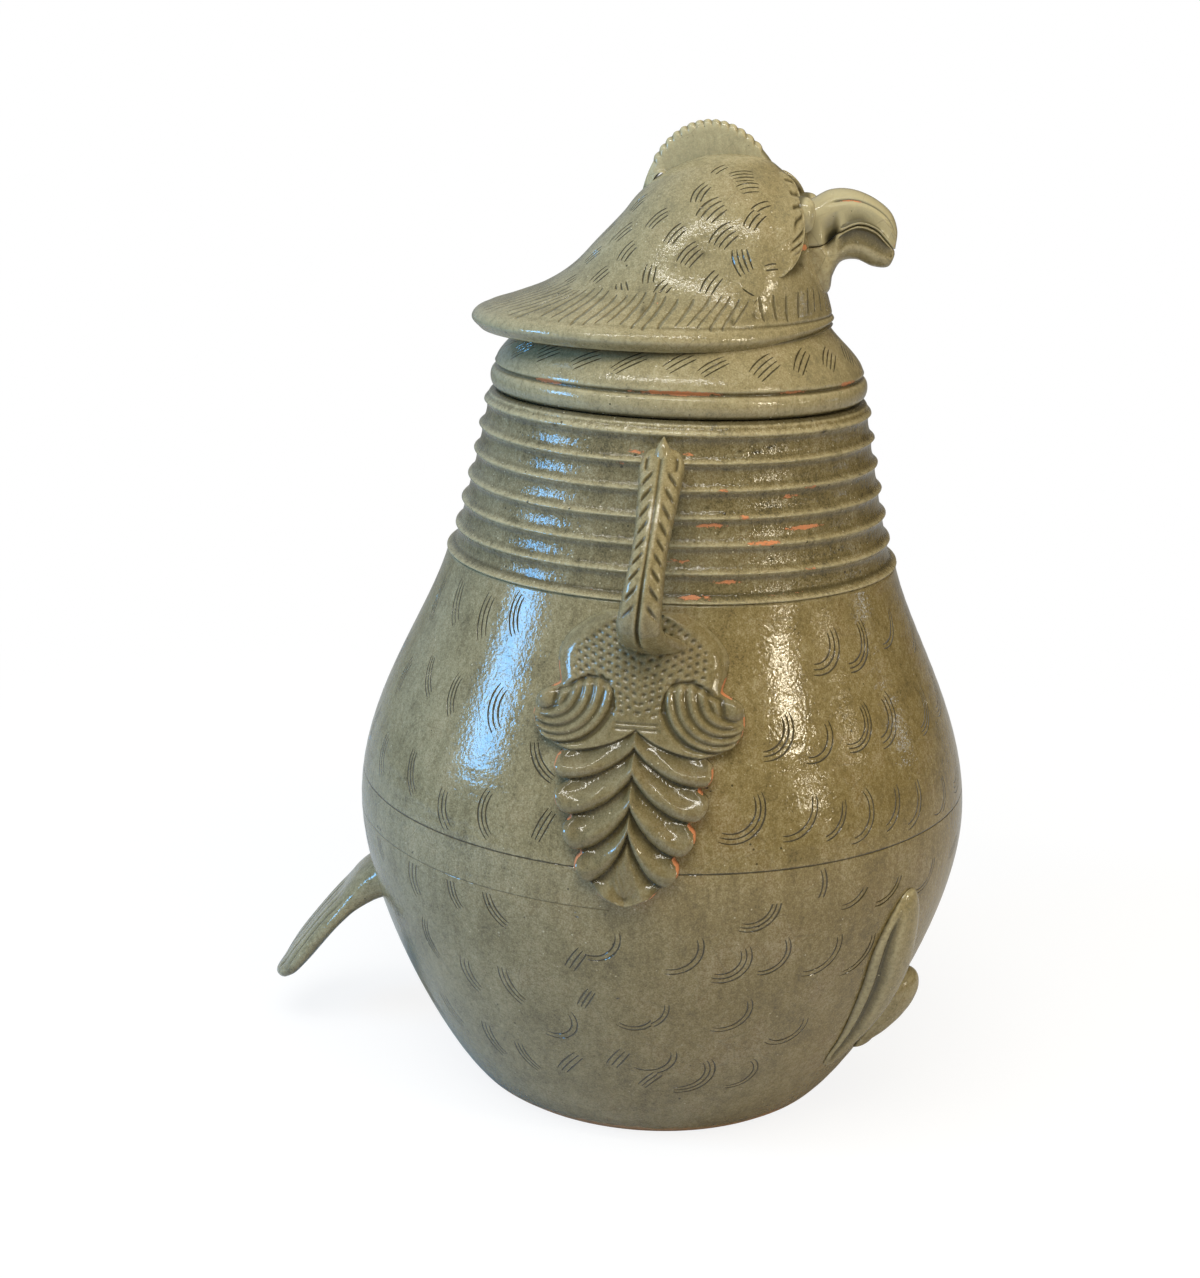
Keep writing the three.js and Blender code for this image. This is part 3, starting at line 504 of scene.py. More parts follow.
# Strength of the cloudy stains, of the specks, of thin glaze on edges and of the skin's unevenness, and how
# much lighter than the body's glaze.
FINISHES = {
    "celadon": (1.0, 1.0, 0.6, 1.0, 0.0),
    "lid_celadon": (1.1, 1.4, 0.8, 1.2, 0.17),
    "crawled_celadon": (1.6, 3.0, 0.8, 1.9, 0.06),
    "handled_celadon": (0.8, 0.8, 0.4, 0.5, 0.0),
    "pale_celadon": (1.3, 1.5, 1.0, 0.6, 0.48),
    # The beak's glaze is lightened as a painted sheen, for the light that it reflects.
    "beak_celadon": (1.3, 1.5, 1.0, 0.5, 0.66),
}


def glaze(finish):
    """Celadon: olive to grey with streaks and mottling, dark where it pools and where painted shade is laid
    on, pale where it is drawn thin, with iron specks, pinholes, incised strokes and bare clay where it is
    worn."""
    if finish in bpy.data.materials:
        return bpy.data.materials[finish]
    look = bpy.context.scene.glaze_look
    marks = bpy.context.scene.mark_sizes
    stained, speckled, edged, uneven_skin, lighter = FINISHES[finish]
    r = Recipe(bpy.data.materials.new(finish))
    place = r.add("ShaderNodeTexCoord").outputs["Object"]
    split = r.add("ShaderNodeSeparateXYZ")
    r.set(split.inputs[0], place)
    flow = r.add("ShaderNodeSeparateXYZ")
    r.set(flow.inputs[0], r.add("ShaderNodeAttribute", attribute_name="flow").outputs["Vector"])
    pool_and_shade, thin, worn = flow.outputs

    cloud = r.noise(place, 16, 3)
    stain = r.noise(place, 48, 5, 0.62)
    streak = r.noise(r.stretched(place, (1, 1, 0.13)), 230, 4, 0.6)
    mottle = r.noise(place, 560, 3, 0.65)
    grain = r.noise(place, 1700, 2, 0.6)
    peel = r.noise(place, 600, 2, 0.55)

    front = r.fade(split.outputs[1], 0.1, -0.1)
    tone = r.math("ADD", front, r.math("MULTIPLY_ADD", cloud, 0.7, -0.35), clamp=True)
    ground = r.mix(tone, colour(look.grey), colour(look.olive))
    brown = r.math("MULTIPLY", r.fade(stain, 0.5, 0.72), r.math("MULTIPLY_ADD", front, 0.35, 0.25))
    ground = r.mix(brown, ground, colour(look.toasted))
    shade = r.math("ADD", r.math("MULTIPLY_ADD", streak, 0.6, -0.3),
                   r.math("MULTIPLY_ADD", mottle, 0.8, -0.4))
    shade = r.math("ADD", shade, r.math("MULTIPLY_ADD", grain, 1.2, -0.6))
    shade = r.math("MULTIPLY", r.math("ADD", shade, r.math("MULTIPLY_ADD", stain, 1.0, -0.5)), stained)
    ground = r.mix(r.math("MAXIMUM", shade, 0.0), ground, (0.5, 0.46, 0.3))
    ground = r.mix(r.math("MAXIMUM", r.math("MULTIPLY", shade, -1.7), 0.0), ground, (0.06, 0.05, 0.025))
    ground = r.mix(lighter, ground, (0.5, 0.46, 0.29))

    drawn = r.math("MULTIPLY", thin, r.fade(mottle, 0.3, 0.65, 0.35 * edged, edged))
    ground = r.mix(drawn, ground, colour(look.thin))
    # Pooled glaze and the pieces' painted shade both darken towards the pooled colour; past 1 they turn to
    # the iron colour.
    ground = r.mix(r.math("MULTIPLY", pool_and_shade, 0.8, clamp=True), ground, colour(look.pooled))
    ground = r.mix(r.fade(pool_and_shade, 1.02, 1.25), ground, colour(look.iron))

    craze, _ = r.cells(r.stretched(place, (1, 1, 0.8)), 95, "DISTANCE_TO_EDGE")
    crazing = r.math("MULTIPLY", r.fade(craze, 0.0, 0.022, 1.0, 0.0), r.fade(stain, 0.4, 0.6, 0.0, 0.3))
    ground = r.mix(crazing, ground, (0.09, 0.08, 0.045))
    iron = r.dots(place, 230, 0.09 * speckled, 0.15)
    ground = r.mix(r.math("MULTIPLY", iron, 0.8), ground, colour(look.iron))
    fleck = r.dots(r.stretched(place, (1.1, 0.9, 1)), 420, 0.2 * speckled, 0.17)
    ground = r.mix(r.math("MULTIPLY", fleck, 0.6), ground, (0.62, 0.57, 0.4))
    blister = r.dots(place, 34, 0.12, 0.05)
    pin = r.dots(r.stretched(place, (0.9, 1, 1.1)), 480, 0.16 * speckled, 0.13)
    ground = r.mix(r.math("MULTIPLY", pin, 0.65), ground, colour(look.pooled))

    uv = r.add("ShaderNodeSeparateXYZ")
    r.set(uv.inputs[0], r.add("ShaderNodeUVMap", uv_map="strokes").outputs[0])
    kind = r.add("ShaderNodeSeparateXYZ")
    r.set(kind.inputs[0], r.add("ShaderNodeAttribute", attribute_name="stroke_kind").outputs["Vector"])
    number, spacing, depth = kind.outputs
    line = r.math("ROUND", uv.outputs[0])
    off = r.math("MULTIPLY", r.math("ABSOLUTE", r.math("SUBTRACT", uv.outputs[0], line)), spacing)
    reach = r.math("ABSOLUTE", uv.outputs[1])
    taper = r.math("SUBTRACT", 1.0, r.math("MINIMUM", r.math("MULTIPLY", reach, reach), 1.0))
    taper = r.math("POWER", taper, 0.3)
    wobble = r.fade(r.noise(place, 420, 2), 0.3, 0.7, 0.7, 1.2)
    width = r.math("MULTIPLY", r.math("MULTIPLY", taper, wobble), marks.stroke_width / MM / 2)
    width = r.math("MULTIPLY", width, r.math("MAXIMUM", depth, 1.0))
    cut = r.math("SUBTRACT", 1.0, r.math("DIVIDE", off, r.math("MAXIMUM", width, 0.001)), clamp=True)
    among = r.math("MULTIPLY", r.math("GREATER_THAN", uv.outputs[0], -0.5),
                   r.math("LESS_THAN", uv.outputs[0], r.math("SUBTRACT", number, 0.5)))
    cut = r.math("MULTIPLY", r.math("MULTIPLY", cut, among), r.math("MINIMUM", depth, 1.0))
    soft = r.math("DIVIDE", 0.96, r.math("MAXIMUM", depth, 1.0))
    ink = r.math("MULTIPLY", r.fade(cut, 0.0, 0.55), r.math("MULTIPLY_ADD", mottle, 0.4, 0.7), clamp=True)
    ground = r.mix(r.math("MULTIPLY", ink, soft), ground, r.mix(0.5, colour(look.pooled), colour(look.iron)))

    ragged = r.noise(r.stretched(place, (1, 1, 2.4)), 330, 5, 0.75)
    bare = r.math("ADD", r.math("MULTIPLY", worn, 0.8), r.math("MULTIPLY", ragged, 1.15))
    bare = r.fade(bare, 1.22, 1.26)
    ground = r.mix(bare, ground, r.mix(mottle, colour(look.clay), (0.42, 0.19, 0.09)))
    rough_edge = r.math("SUBTRACT", split.outputs[2], r.math("MULTIPLY", stain, 0.008))
    foot = r.math("MAXIMUM", r.fade(rough_edge, -0.0015, 0.0005, 1.0, 0.0),
                  r.fade(split.outputs[2], 0.0028, 0.0042, 1.0, 0.0))
    ground = r.mix(foot, ground, r.mix(mottle, colour(look.foot), (0.5, 0.3, 0.16)))
    r.set(r.shader.inputs["Base Color"], ground)

    dull = r.math("MAXIMUM", bare, foot)
    rough = r.math("MULTIPLY_ADD", mottle, 0.08, look.gloss - 0.04)
    rough = r.math("ADD", rough, r.math("MULTIPLY", dull, 0.45), clamp=True)
    r.set(r.shader.inputs["Roughness"], rough)
    r.shader.inputs["IOR"].default_value = 1.5

    height = r.math("MULTIPLY_ADD", mottle, 0.04 * uneven_skin, r.math("MULTIPLY", peel, 0.14 * uneven_skin))
    height = r.math("ADD", height, r.math("MULTIPLY", streak, 0.02))
    height = r.math("SUBTRACT", height, r.math("MULTIPLY", pin, 0.12))
    height = r.math("ADD", height, r.math("MULTIPLY", fleck, 0.07))
    height = r.math("ADD", height, r.math("MULTIPLY", blister, 0.35))
    height = r.math("SUBTRACT", height, r.math("MULTIPLY", cut, 0.45))
    height = r.math("SUBTRACT", height, r.math("MULTIPLY", bare, 0.12))
    bump = r.add("ShaderNodeBump")
    bump.inputs["Strength"].default_value = 1.0
    bump.inputs["Distance"].default_value = MM
    r.set(bump.inputs["Height"], height)
    r.set(r.shader.inputs["Normal"], bump.outputs[0])
    return r.owner


# Body


def turned(outline, columns):
    """An outline of (radius, height) carried round the axis, and the azimuths of its columns."""
    azimuth = np.arange(columns) / columns * TURN
    radius, height = np.array(outline, float).T
    return around(azimuth[None, :], radius[:, None], height[:, None]), azimuth


# Middles of the incised hooks, arcs and dashes of the body, as (azimuth in degrees, height).
HOOKS = [(45, 191), (35, 191), (22, 193), (7, 187), (60, 167), (51, 163), (41, 164), (33, 165), (18, 163),
         (5, 164), (68, 140), (58, 139), (51, 137), (44, 136), (37, 137), (30, 135), (20, 132), (8, 134),
         (64, 109), (55, 114), (46, 112), (38, 109), (26, 108), (12, 110), (77, 91), (69, 88), (61, 87),
         (51, 85), (43, 80), (83, 64), (67, 63), (54, 52), (81, 41), (72, 35), (61, 32), (100, 55), (92, 92),
         (85, 62)]
ARCS = [(144, 198), (132, 199), (122, 201), (156, 196), (169, 199), (142, 172), (132, 170), (120, 170),
        (155, 168), (168, 171), (137, 139), (126, 134), (117, 137), (107, 155), (150, 137), (163, 141),
        (134, 104), (123, 104), (113, 103), (146, 106), (158, 103), (132, 77), (122, 69), (112, 70),
        (145, 74), (156, 45), (122, 39), (113, 35), (134, 42), (145, 38)]
DASHES = [(105, 137), (98, 88), (96, 72), (102, 40), (91, 44), (82, 35)]


def body_strokes(m, above):
    """Incised feathers on both sides, by azimuth and height: nested hooks that sweep down and to the front,
    arcs that bulge to the tail, and a few short slanting dashes between them."""
    rng = np.random.default_rng(m.seed)
    strokes = Strokes()
    shapes = [(HOOKS, -38, 12, (8.5, 12), (9.5, 13), (2, 4)), (ARCS, 196, 12, (12, 18), (7.4, 9.2), (3, 4)),
              (DASHES, 152, 8, (60, 80), (4.5, 7.5), (3, 4))]
    for places, bulge, spread, bends, halves, counts in shapes:
        for azimuth, height in places:
            for side in (1, -1):
                turn = math.radians(azimuth + rng.normal(0, 0.4))
                z = height + rng.normal(0, 0.8)
                lean, bend = math.radians(rng.normal(bulge, spread)), rng.uniform(*bends)
                half, pitch = rng.uniform(*halves), rng.uniform(1.6, 2.3)
                count, depth = int(rng.integers(*counts)), rng.uniform(0.85, 1.15)
                if (z > m.belly_height) != above:
                    continue
                slope = float(m.wall_radius(z + 1) - m.wall_radius(z - 1)) / 2
                angle = side * turn
                at = around(angle, float(m.wall_radius(z)), z)
                up = np.array([-math.sin(angle) * slope, -math.cos(angle) * slope, 1])
                up /= np.linalg.norm(up)
                along = np.array([math.cos(angle), -math.sin(angle), 0]) * side
                strokes.add(at, along, up, lean, bend, half, pitch, count, depth)
    return strokes


def belly_lines(heights):
    """Fine lines drawn round the body at the given heights, not quite level; some only round the tail."""

    def draw(corners, place, kind, _):
        azimuth = np.arctan2(-corners[..., 0], -corners[..., 1])
        for height, depth, behind in heights:
            above = corners[..., 2] - height - 0.7 * np.sin(azimuth + 1.9) - 0.25 * np.sin(3 * azimuth)
            near = np.all(np.abs(above) < 2.6, 1) & (np.all(np.abs(azimuth) > 1.6, 1) | (not behind))
            place[near, :, 0] = above[near] / 6
            place[near, :, 1] = 0
            kind[near] = (1, 6, depth)

    return draw


def throw_body(m):
    """Both halves of the wall: outlines turned round the axis, let slightly out of true."""
    columns = 600
    low, high = m.lower_wall, m.upper_wall
    outer = [(r, z) for r, z in low[:-1] if z > 2.2]
    lining = [(r - m.wall, z) for r, z in low[::-6] if z > 16]
    floor = float(m.wall_radius(10)) - m.wall - 6
    outline = [(1, 0.7), (20, 0.65), (42, 0.6), (60, 0.5), (63.5, 0.3), (65.5, 0), (m.base_radius - 2.5, 0),
               (m.base_radius, 0.15), (m.base_radius + 1.1, 0.5), (m.base_radius + 1.9, 1.2)] + outer
    outline += [(m.belly_radius, m.belly_height - 0.03), (m.belly_radius, m.belly_height),
                (m.belly_radius - 0.6, m.belly_height)] + lining
    outline += [(floor + 4.5, 13), (floor + 2, 10.8), (floor - 1, 10), (floor * 0.6, 10), (1, 10)]
    points, azimuth = turned(outline, columns)
    outside = 12 + len(outer)
    away = around(azimuth[None, :], uneven(azimuth[None, :], points[:outside, :, 2]), 0)
    fade = smooth(points[:outside, :, 2], 1, 6)[..., None]
    points[:outside] += away * fade
    make_piece("thrown_lower_body", points, "body_lower", "jar", strokes=body_strokes(m, False),
               lines=belly_lines([(m.belly_height - 2.2, 0.35, True)]),
               even=points[..., 2] > m.belly_height - 12)

    inner = [(r - m.wall, z) for r, z in high[::-6]]
    outline = [(m.belly_radius - 0.6, m.belly_height), (m.belly_radius, m.belly_height),
               (m.belly_radius, m.belly_height + 0.03)] + [(r, z) for r, z in high[1:-1]]
    outline += [(m.shoulder_radius - 0.1, m.shoulder_height)] + inner
    points, azimuth = turned(outline, columns)
    outside = len(high) + 2
    points[:outside] += around(azimuth[None, :], uneven(azimuth[None, :], points[:outside, :, 2]), 0)
    make_piece("thrown_upper_body", points, "body_upper", "jar", strokes=body_strokes(m, True),
               lines=belly_lines([(m.belly_height + 12, 0.8, False)]), loop=True,
               even=points[..., 2] < m.belly_height + 12)


# Neck


def throw_neck(m):
    """Ribbed neck: between two crisp rib edges the radius dips by a flattened power of the phase."""
    columns = 520
    lowest, top = m.shoulder_height, m.neck_top
    count = max(1, int((m.neck_height - 4) // m.rib_pitch))
    z = np.concatenate([np.linspace(lowest + 0.02, lowest + 0.9, 4),
                        np.linspace(lowest + 1.1, top - 3.0, 150),
                        np.linspace(top - 2.7, top - 0.02, 10)])
    phase = (z - lowest - 0.75) / m.rib_pitch
    within = np.clip(phase, 0, count)
    f = within % 1.0
    dip = m.rib_depth * (1 - np.abs(2 * f - 1) ** 2.8)
    edge = 0.22 * np.exp(-(np.minimum(f, 1 - f) * m.rib_pitch / 0.6) ** 2)
    past = 1.215 * smooth(phase, count, count + 0.25)
    radius = m.rib_edge(z) - np.where(phase < 0, 0, np.where(phase >= count, past, dip - edge))
    radius = radius + 0.75 * smooth(z, lowest + 3.2, lowest + 0.7)
    radius = radius - 1.6 * (1 - smooth(z, lowest - 0.35, lowest + 0.7))
    rim = np.clip((z - (top - 2.6)) / 2.6, 0, 1)
    radius = radius - 2.5 * (1 - np.sqrt(np.maximum(0, 1 - rim ** 2)))
    azimuth = np.arange(columns) / columns * TURN
    out = radius[:, None] + 0.1 * ripple(azimuth[None, :] * 3 + z[:, None] / 7, 3) - 0.12
    sway = 0.35 * np.sin(azimuth[None, :] * 2 + z[:, None] / 19) * smooth(z, lowest, lowest + 6)[:, None] * (
        1 - smooth(z, top - 8, top - 3))[:, None]
    points = around(azimuth[None, :], out, z[:, None] + sway)
    mouth = m.mouth_radius
    bore_z = np.linspace(top - 0.8, lowest, 14)
    foot = float(m.wall_radius(lowest)) - m.wall
    bore_r = mouth + (foot - mouth) * (1 - np.clip((bore_z - lowest) / (m.neck_height - 4), 0, 1)) ** 1.2
    inner = around(azimuth[None, :], bore_r[:, None], bore_z[:, None])
    rim_in = around(azimuth[None, :], np.array([mouth + 2.2, mouth + 0.9])[:, None],
                    np.array([top, top - 0.15])[:, None])
    points = np.concatenate([points, rim_in, inner])

    # Glaze is worn off in short dashes along the channels on the front half of the bird's right side.
    spots = [(60, 232, 8, 1.0), (48, 236, 11, 1.0), (74, 238, 7, 1.0), (52, 247, 6, 0.9), (72, 250, 5, 0.9),
             (45, 249.5, 5, 0.9), (47, 222, 8, 0.8), (70, 219, 8, 0.9), (80, 262, 5, 0.8), (95, 262, 6, 0.9),
             (66, 241, 4, 0.9), (99, 258, 4, 0.8), (82, 226, 5, 0.95), (78, 214, 9, 0.95),
             (55, 214, 12, 0.8), (112, 231, 4, 0.7), (84, 246, 4, 0.8), (104, 214.5, 6, 0.7)]
    # Darker in the channels between the ribs. The top rim is darkened as painted shade of the seam under the
    # lid. Dark iron blots are laid over it.
    level = (points[..., 2] - lowest - 0.75) / m.rib_pitch
    channel = 1 - np.abs(2 * (np.clip(level, 0, count) % 1) - 1) ** 2
    shade = 0.42 * channel * (level > 0) + 0.95 * smooth(points[..., 2], top - 1.5, top - 0.7)
    blots = [(57, 264, 1.4, 1.0), (61, 262.6, 2.2, 1.0), (66, 263, 1.2, 0.9), (70, 257, 1.3, 0.9),
             (38, 268, 1.2, 1.0), (20, 266, 1.0, 0.9), (75, 244, 1.0, 0.9), (58, 226, 0.9, 0.9),
             (120, 268, 1.1, 0.8), (131, 255, 1.0, 0.8)]
    shade = np.maximum(shade, 1.3 * spot_bells(points, blots, 0.9))
    make_piece("ribbed_neck", points, "neck_ribbed", "jar", wear=spot_bells(points, spots, 1.5), shade=shade,
               loop=True, finish="crawled_celadon")


# Lid collar


def throw_collar(m):
    """Lid collar: rim, groove and slanted band as one outline turned round the axis."""
    columns = 600
    seat, rim_top = m.seat, m.seat + m.rim_height
    flange = m.mouth_radius - FLANGE_CLEARANCE
    band = bezier([(m.rim_radius - 2.4, rim_top + 2.9), (m.rim_radius - 4.2, rim_top + 8),
                   (m.collar_top_radius + 3.4, m.collar_top - 5), (m.collar_top_radius, m.collar_top)], 34)
    rim = bezier([(m.rim_radius - 2.6, seat + 0.05), (m.rim_radius + 0.6, seat + 1.6),
                  (m.rim_radius + 0.2, rim_top - 0.5), (m.rim_radius - 2.2, rim_top - 0.3)], 18)
    groove = bezier([(m.rim_radius - 2.7, rim_top), (m.rim_radius - 3.2, rim_top + 0.8),
                     (m.rim_radius - 2.0, rim_top + 0.9), (m.rim_radius - 1.9, rim_top + 1.9)], 10)
    bore = flange - 6
    outline = [(bore, seat - 12), (flange - 1, seat - 12), (flange, seat - 10), (flange, seat),
               (flange + 1.5, seat)]
    outline += [tuple(p) for p in np.vstack([rim, groove, band])]
    outline += [(m.collar_top_radius - 1.5, m.collar_top), (48, m.collar_top), (bore - 2, m.collar_top - 12),
                (bore, seat + 5)]
    points, _ = turned(outline, columns)
    spots = [(84, rim_top + 0.9, 20, 1.2), (126, rim_top + 0.9, 9, 1.15), (22, rim_top + 1.4, 9, 1.15),
             (48, rim_top + 0.9, 10, 0.95), (158, m.collar_top - 6, 9, 1.1), (38, m.collar_top - 6, 8, 0.75),
             (66, rim_top - 2.5, 5, 0.7)]
    strokes = Strokes()
    rng = np.random.default_rng(m.seed + 1)
    middle = band[15]
    slope = (band[17] - band[13]) / np.linalg.norm(band[17] - band[13])
    for i in range(24):
        for side in (1, -1):
            angle = side * ((i / 24 + 1 / 48) * math.pi + rng.normal(0, 0.02))
            outward = np.array([-math.sin(angle), -math.cos(angle), 0])
            up = outward * slope[0] + np.array([0, 0, slope[1]])
            along = np.array([math.cos(angle), -math.sin(angle), 0]) * side
            at = around(angle, middle[0], middle[1] + rng.normal(0, 0.8))
            if i % 2:
                strokes.add(at, along, up, math.radians(124 + rng.normal(0, 5)), 60, rng.uniform(5.2, 7.2),
                            rng.uniform(1.7, 2.3), int(rng.integers(3, 5)), 0.8)
    # Painted shade darkens the seam over the neck's rim and the groove between the rim and the band.
    shade = np.where(points[..., 2] < rim_top, smooth(points[..., 2], seat + 1.5, seat + 0.7), 0)
    shade = np.maximum(shade, 0.8 * np.exp(-((points[..., 2] - rim_top - 0.6) / 0.5) ** 2))
    make_piece("lid_collar_band", points, "lid_collar", "lid", wear=spot_bells(points, spots, 1.3),
               shade=0.95 * shade, strokes=strokes, loop=True, finish="lid_celadon")


# Head


# The head over the collar by height: distance from the axis behind, in front and to the side, and how blunt
# its level rings are in front.
HEAD_BACK = [(-4.8, -75.5), (-1, -78.7), (3.2, -75.1), (7, -64.4), (12, -52), (19, -41.4), (29, -32),
             (39, -22.8), (45, -18.2), (51.5, -11.4), (56.5, -3.4), (60.1, 6), (61.4, 16)]
HEAD_FRONT = [(-4.8, 55.4), (-1, 57), (3.2, 56.5), (10, 54.6), (19, 50.8), (29, 47), (38, 45.2), (45, 43),
              (51.5, 39.2), (56.5, 34), (60.1, 27.5), (61.4, 18)]
HEAD_HALF = [(-4.8, 63), (-1, 66.5), (3.2, 63.9), (7, 58), (12, 51.5), (19, 46.5), (29, 42), (38, 37.5),
             (45, 32.5), (51.5, 25), (56.5, 17), (60.1, 8.5), (61.4, 0.6)]
HEAD_BLUNT = [(-6, 2), (6, 2), (20, 2.9), (36, 3.1), (48, 2.4), (61.4, 2)]


def section(angle, back, front, half, blunt, z):
    """A level ring: an ellipse behind its middle and a blunter power curve in front, by the head angle."""
    forward, side = np.cos(angle), np.sin(angle)
    exponent = np.where(forward > 0, 2 / blunt, 1.0)
    s = (back + front) / 2 + (front - back) / 2 * power(forward, exponent)
    w = half * power(side, exponent)
    return np.stack(np.broadcast_arrays(-w, -s, z), -1)


def head_point(m, angle, h):
    """Point of the head's skin at a head angle and a height over the collar."""
    return section(angle, knots(HEAD_BACK, h), knots(HEAD_FRONT, h), knots(HEAD_HALF, h),
                   knots(HEAD_BLUNT, h), m.collar_top + h)


def chin(angle):
    """The brim rises towards the chin."""
    return np.maximum(0, np.cos(angle)) ** 4


def head_frame(m, angle, h):
    """A place on the head with its level direction towards the front and its rising direction."""
    angle, h = np.array(angle), np.array(h, float)
    at = head_point(m, angle, h)
    side = head_point(m, angle - 0.02, h) - head_point(m, angle + 0.02, h)
    rise = head_point(m, angle, h + 0.5) - head_point(m, angle, h - 0.5)
    side /= np.linalg.norm(side)
    rise -= side * (rise @ side)
    return at, side, rise / np.linalg.norm(rise)


# Marks on the head: head angle, height, direction they bulge to, number of lines and half length.
HEAD_MARKS = [(95.5, 56, 150, 2, 2.8), (72.5, 54.2, 100, 4, 3.4), (68, 50.4, 108, 3, 3.2),
              (101, 48.2, 165, 3, 4), (89.5, 42.7, 140, 4, 4), (63, 44.2, 122, 2, 4),
              (68.5, 40.3, 138, 3, 3.8), (121.5, 38.7, 145, 3, 3.8), (104, 34, 148, 3, 3.6),
              (84, 34.2, 140, 4, 3.9), (125.5, 26.9, 160, 3, 3.4), (90.5, 27.4, 142, 4, 3.6),
              (130.5, 18.2, 155, 3, 3.2), (106, 20.2, 185, 3, 3), (83, 18.2, 150, 3, 3.6),
              (96, 15.6, 150, 3, 2.6), (113, 14.8, 210, 3, 2.4), (73.5, 25.9, 190, 4, 3.8),
              (56, 34.6, 165, 1, 2.8), (55.2, 31.8, 12, 1, 2.8), (55, 24.2, 95, 2, 2.6),
              (66, 15.5, 230, 1, 2.2), (140, 33, 150, 3, 3.6), (150, 24, 155, 3, 3.4),
              (146, 14.5, 160, 3, 3.2), (164, 33, 165, 3, 3.4), (168, 20, 170, 3, 3.4),
              (150, 43, 150, 3, 3.4)]

# Border between the face and the ruffs, as (height over the collar, head angle).
FACE_EDGE = [(20.5, 0.86), (24, 0.7), (28, 0.57), (34, 0.48), (40, 0.44), (46, 0.38), (51, 0.3),
             (55.5, 0.34)]


def model_head(m):
    """Hollow head: level rings from the crown to the rolled brim, its underside, and the hollow inside."""
    columns = 560
    angle = np.arange(columns) / columns * TURN
    heights = np.concatenate([61.4 - 1.3 * np.linspace(0.25, 1, 6) ** 2, np.linspace(59.5, 7, 100),
                              np.linspace(6.5, -0.6, 22), np.linspace(-1, -4.8, 9)])
    lift = knots([(-4.8, 6), (-1, 4), (3.2, 1.2), (9, 0), (61, 0)], heights)
    skin = head_point(m, angle[None, :], heights[:, None])
    skin[..., 2] += lift[:, None] * chin(angle)[None, :]
    crease = 0.55 * np.exp(-((heights - 3.6) / 0.75) ** 2)[:, None]
    waver = 0.22 * ripple(angle * 4, 21)[None, :] * smooth(heights, 8, 2)[:, None]
    skin[..., :2] *= 1 - ((crease - waver) / np.linalg.norm(skin[..., :2], axis=-1))[..., None]
    lip = m.collar_top_radius + 0.8
    lowest = m.collar_top - 2.6 + 3.4 * chin(angle)[None, :]
    under = section(angle[None, :], -lip - 5, lip + 0.4, lip + 3.6, 2, lowest)
    edge = section(angle[None, :], -lip, lip, lip, 2, m.collar_top)
    last = skin[-1:]
    t = np.linspace(0, 1, 12)[1:, None, None]
    sag = np.sin(t * math.pi) * np.array([0, 0, -0.6])
    skirt = last * (1 - t) + under * t + sag
    u = np.linspace(0, 1, 4)[1:, None, None]
    seat = under * (1 - u) + edge * u
    bore = section(angle[None, :], -47, 47, 47, 2, m.collar_top)
    shell = 9
    hollow = [section(angle[None, :], -46.4, 46.4, 46.4, 2, m.collar_top + 3)]
    for h in (12, 22, 32, 42, 49):
        hollow.append(section(angle[None, :], float(knots(HEAD_BACK, h)) + shell + 5 - 0.08 * h,
                              float(knots(HEAD_FRONT, h)) - shell, float(knots(HEAD_HALF, h)) - shell, 2,
                              m.collar_top + h))
    points = np.concatenate([skin, skirt, seat, bore] + hollow)

    strokes = Strokes()
    rng = np.random.default_rng(m.seed + 2)

    def mark(degrees, h, bulge, count, half, bend, depth):
        at, along, up = head_frame(m, math.radians(degrees), h)
        for side in (1, -1):
            mirror = np.array([side, 1, 1])
            strokes.add(at * mirror, along * mirror, up * mirror, math.radians(bulge), bend, half,
                        rng.uniform(1.9, 2.4), count, depth)

    for degrees, h, bulge, count, half in HEAD_MARKS:
        mark(degrees, h, bulge + rng.normal(0, 4), count, half * 1.2, rng.uniform(11, 20),
             rng.uniform(0.85, 1.15))
    # Wide soft grooves fan down the cheeks.
    for degrees, h in ((2, 11), (9.5, 11), (16.5, 12), (23, 12.2), (29, 12), (36, 10.8), (42.5, 9.7),
                       (49, 10.2), (55, 10)):
        mark(degrees, h, 180 + (degrees - 30) * 0.35, 1, 4.6, 40, 2.0)

    skin_rows = len(heights)
    fringe_count = round(TURN * 66 / m.fringe_pitch)

    def fringe(corners, place, kind, quads):
        """Lines down the brim, by head angle. They lean to the front, and to the tail at the back."""
        row, col = quads // columns, quads % columns
        inside = np.all((row < skin_rows), 1)
        h = heights[np.minimum(row, skin_rows - 1)]
        turn_part = col / columns
        wrapped = np.ptp(col, axis=1) > 1
        turn_part = np.where(wrapped[:, None] & (col == 0), 1.0, turn_part)
        round_back = np.minimum(turn_part, 1 - turn_part)
        lean = 0.14 - 0.3 * smooth(round_back, 0.34, 0.39)
        uneven_pitch = 0.1 * np.sin(turn_part * 151) + 0.12 * np.sin(turn_part * 67)
        shifted = turn_part * fringe_count + np.where(turn_part < 0.5, 1, -1) * (9 - h) * lean + uneven_pitch
        middle = 8.6 + 0.9 * np.sin(turn_part * 97)
        near = inside & np.all((h > 2.6) & (h < 14.6), 1) & np.all(round_back > 0.166, 1)
        place[near, :, 0] = shifted[near] + 2
        place[near, :, 1] = ((h - middle) / 5.0)[near]
        kind[near] = (999, m.fringe_pitch, 2.3)

    c = m.collar_top
    spots = [(88, c + 12.5, 2.2, 0.8), (93, c + 11.5, 1.6, 0.75), (128, c + 19, 2, 0.7),
             (120, c + 4, 3, 0.6), (23, c + 30, 6, 1.2), (29, c + 30, 4, 1.2)]
